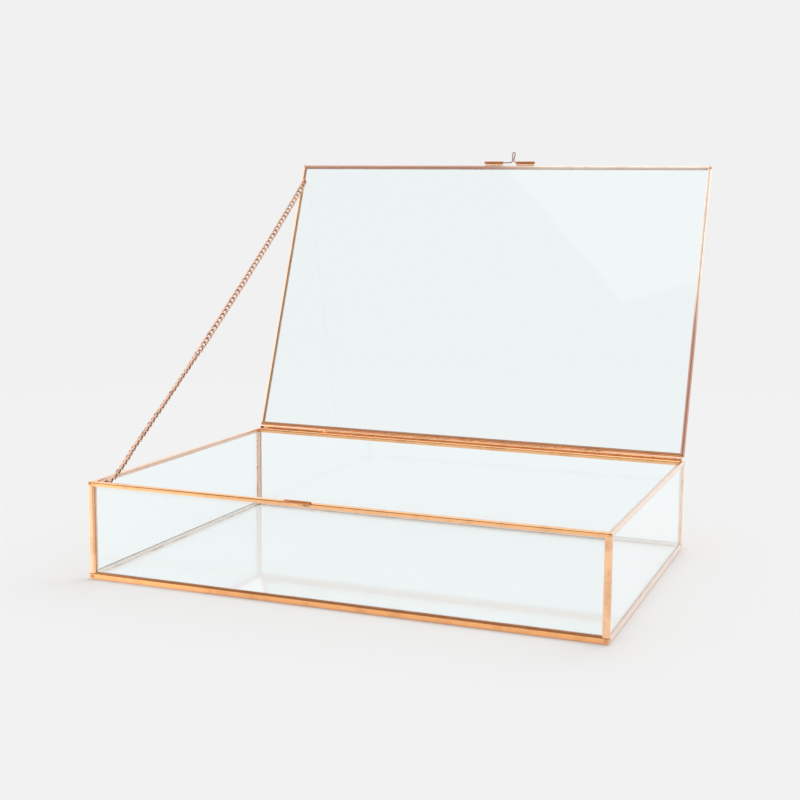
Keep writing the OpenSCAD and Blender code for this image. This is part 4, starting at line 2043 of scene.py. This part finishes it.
@dataclass
class Studio:
    """Pale floor, pale surroundings, soft light and the camera.

    Attributes:
        eye: Place of the camera, in metres.
        azimuth: Its turn about the vertical, in degrees.
        elevation: How far it looks down.
        roll: Its roll.
        lens: Focal length in millimetres on a sensor 36 wide.
        shift: Shift of the picture.
        pale: Grey of the floor and the backdrop.
        through_glass: The same surroundings as glass shows them.
        gloss_floor: Grey of the floor as gloss shows it, in general and far to the left.
        gloss_turn: Where the floor turns from the one grey to the other: X over distance.
        gloss_glow: Share of the floor's shadow that gloss leaves out.
        floor_radius: Radius of the floor.
        floor_sides: Number of its sides.
        floor_drop: How far it lies below the box.
        floor_fade: Distances between which it fades into the backdrop.
        dark_front: Colour of the unlit room in front of the box.
        front_patch: Where that room is.
        overhead: Strength of the soft box overhead.
        overhead_patch: Where it is.
        card: Strength of the soft box at the upper right, whose edges show in the lid.
        card_edges: The halves of the surroundings, one to the right and one above, that it fills where
            they overlap.
        side_box: Strength of the soft boxes at the sides.
        side_patches: Where they are: right and left.
        daylight: Strength of the even light on matt surfaces.
        sun: Strength of the soft lamp.
        sun_width: How wide it stands in the sky, in degrees.
        sun_way: Direction that it shines in.
    """

    eye: Triple = (0.28637, -0.69958, 0.2115)
    azimuth: float = 19.873
    elevation: float = 7.032
    roll: float = 0.749
    lens: float = 58.47
    shift: tuple[float, float] = (-0.0708, -0.0418)
    pale: float = 0.879
    through_glass: Color = (0.876, 0.917, 0.935, 1)
    gloss_floor: tuple[float, float] = (0.98, 1.35)
    gloss_turn: tuple[float, float] = (-0.45, -0.8)
    gloss_glow: float = 0.6
    floor_radius: float = 4.0
    floor_sides: int = 96
    floor_drop: float = 0.0002
    floor_fade: tuple[float, float] = (0.35, 1.0)
    dark_front: Color = (0.35, 0.29, 0.26, 1)
    front_patch: Patch = Patch((-0.15, -0.8, 0.58), 0.45, 0.72)
    overhead: float = 0.88
    overhead_patch: Patch = Patch((0, 0.35, 1), 0.62, 0.7)
    card: float = 1.2
    card_edges: tuple[Patch, Patch] = (
        Patch((0.714, 0.281, 0.642), -0.003, 0.004),
        Patch((-0.289, 0.624, 0.726), -0.003, 0.004),
    )
    side_box: float = 1.25
    side_patches: tuple[Patch, Patch] = (
        Patch((1, 0, 0.1), 0.6, 0.8),
        Patch((-1, 0, 0.1), 0.56, 0.66),
    )
    daylight: float = 0.82
    sun: float = 0.74
    sun_width: float = 50.0
    sun_way: Triple = (-0.25, -0.6, -1.0)

    def build(self) -> None:
        """Set the studio up."""
        self._camera()
        self._floor()
        self._surroundings()
        self._lamps()
        bpy.context.scene.view_settings.view_transform = "Standard"

    def _camera(self) -> None:
        """The camera."""
        data = bpy.data.cameras.new("Camera")
        data.lens = self.lens
        data.sensor_width = 36
        data.shift_x, data.shift_y = self.shift
        camera = bpy.data.objects.new("Camera", data)
        bpy.context.scene.collection.objects.link(camera)
        camera.matrix_world = (
            Matrix.Translation(Vector(self.eye))
            @ Matrix.Rotation(math.radians(self.azimuth), 4, "Z")
            @ Matrix.Rotation(math.radians(90 - self.elevation), 4, "X")
            @ Matrix.Rotation(math.radians(self.roll), 4, "Z")
        )
        bpy.context.scene.camera = camera

    def _floor(self) -> None:
        """A pale round floor that keeps the box's soft shadow and fades into the backdrop."""
        deselect()
        bpy.ops.mesh.primitive_circle_add(
            vertices=self.floor_sides,
            radius=self.floor_radius,
            fill_type="NGON",
            location=(0, 0, -self.floor_drop),
        )
        floor = named("floor")
        material, shader = new_material("Pale floor")
        point = shader.node("ShaderNodeTexCoord").outputs["Object"]
        distance = shader.node("ShaderNodeVectorMath", {0: point}, operation="LENGTH").outputs["Value"]
        path = shader.node("ShaderNodeLightPath").outputs
        seen = shader.math("MAXIMUM", path["Is Camera Ray"], path["Is Transmission Ray"])
        seen = shader.math("MAXIMUM", seen, path["Is Glossy Ray"])
        far = shader.math("MULTIPLY", shader.ramp(distance, *self.floor_fade), seen)
        lit = shader.math("MULTIPLY", path["Is Glossy Ray"], self.gloss_glow)
        far = shader.math("MAXIMUM", far, lit)
        across = shader.node("ShaderNodeSeparateXYZ", {0: point}).outputs["X"]
        sideways = shader.math("DIVIDE", across, distance)
        gloss = shader.ramp(sideways, *self.gloss_turn, *self.gloss_floor)
        color = shader.mix(path["Is Glossy Ray"], grey(self.pale), gloss)
        color = shader.mix(path["Is Transmission Ray"], color, self.through_glass)
        matt = shader.node("ShaderNodeBsdfDiffuse", {"Color": color})
        glow = shader.node("ShaderNodeEmission", {"Color": color, "Strength": 1.0})
        both = shader.node("ShaderNodeMixShader", {0: far, 1: matt.outputs[0], 2: glow.outputs[0]})
        shader.node("ShaderNodeOutputMaterial", {0: both.outputs[0]})
        floor.data.materials.append(material)

    def _surroundings(self) -> None:
        """Even white light for matt surfaces, a pale backdrop, and for gloss a studio with soft boxes."""
        world = bpy.data.worlds.new("Studio")
        world.use_nodes = True
        bpy.context.scene.world = world
        world.node_tree.nodes.clear()
        shader = Shader(world.node_tree)
        way = shader.node("ShaderNodeTexCoord").outputs["Generated"]

        def mask(patch: Patch) -> bpy.types.NodeSocket:
            """Mask a part of the surroundings.

            Args:
                patch: The part.

            Returns:
                The mask: 1 in the part and 0 elsewhere, with a soft edge.
            """
            unit = tuple(Vector(patch.way).normalized())
            dot = shader.node("ShaderNodeVectorMath", {0: way, 1: unit}, operation="DOT_PRODUCT")
            return shader.ramp(dot.outputs["Value"], patch.starts, patch.full)

        room = shader.mix(mask(self.front_patch), grey(self.pale), self.dark_front)
        room = shader.mix(mask(self.overhead_patch), room, grey(self.overhead))
        card = shader.math("MULTIPLY", *(mask(edge) for edge in self.card_edges))
        room = shader.mix(card, room, grey(self.card))
        for patch in self.side_patches:
            room = shader.mix(mask(patch), room, grey(self.side_box))
        path = shader.node("ShaderNodeLightPath").outputs
        shown = shader.node("ShaderNodeBackground", {"Color": grey(1.0), "Strength": self.daylight})
        for ray, color in (
            ("Is Glossy Ray", room),
            ("Is Transmission Ray", self.through_glass),
            ("Is Camera Ray", grey(self.pale)),
        ):
            look = shader.node("ShaderNodeBackground", {"Color": color, "Strength": 1.0})
            layers = {0: path[ray], 1: shown.outputs[0], 2: look.outputs[0]}
            shown = shader.node("ShaderNodeMixShader", layers)
        shader.node("ShaderNodeOutputWorld", {0: shown.outputs[0]})

    def _lamps(self) -> None:
        """One very soft lamp high behind the box."""
        data = bpy.data.lights.new("Soft light", "SUN")
        data.angle = math.radians(self.sun_width)
        data.energy = self.sun
        lamp = bpy.data.objects.new("Soft light", data)
        bpy.context.scene.collection.objects.link(lamp)
        lamp.rotation_euler = Vector(self.sun_way).to_track_quat("-Z", "Y").to_euler()
        lamp.visible_glossy = False


def main() -> None:
    """Build the box and the studio and log each piece."""
    logging.basicConfig(level=logging.INFO, format="%(name)s: %(message)s")
    Studio().build()
    maker = CameMaker(Strip())
    lid_maker = CameMaker(Strip(lips=((0.0, 0.38), (0.5, 0.14), (0.95, 0.0)), crown=0.2))
    turn = LidTurn.from_joint(joint_named("lid_hinge"))
    for assembly in (Tray(maker), Lid(lid_maker, turn), Hinge(turn), Clasp(turn), StayChain(turn)):
        assembly.build()
        LOG.info("%s is done", type(assembly).__name__)
    deselect()


if __name__ == "__main__":
    main()
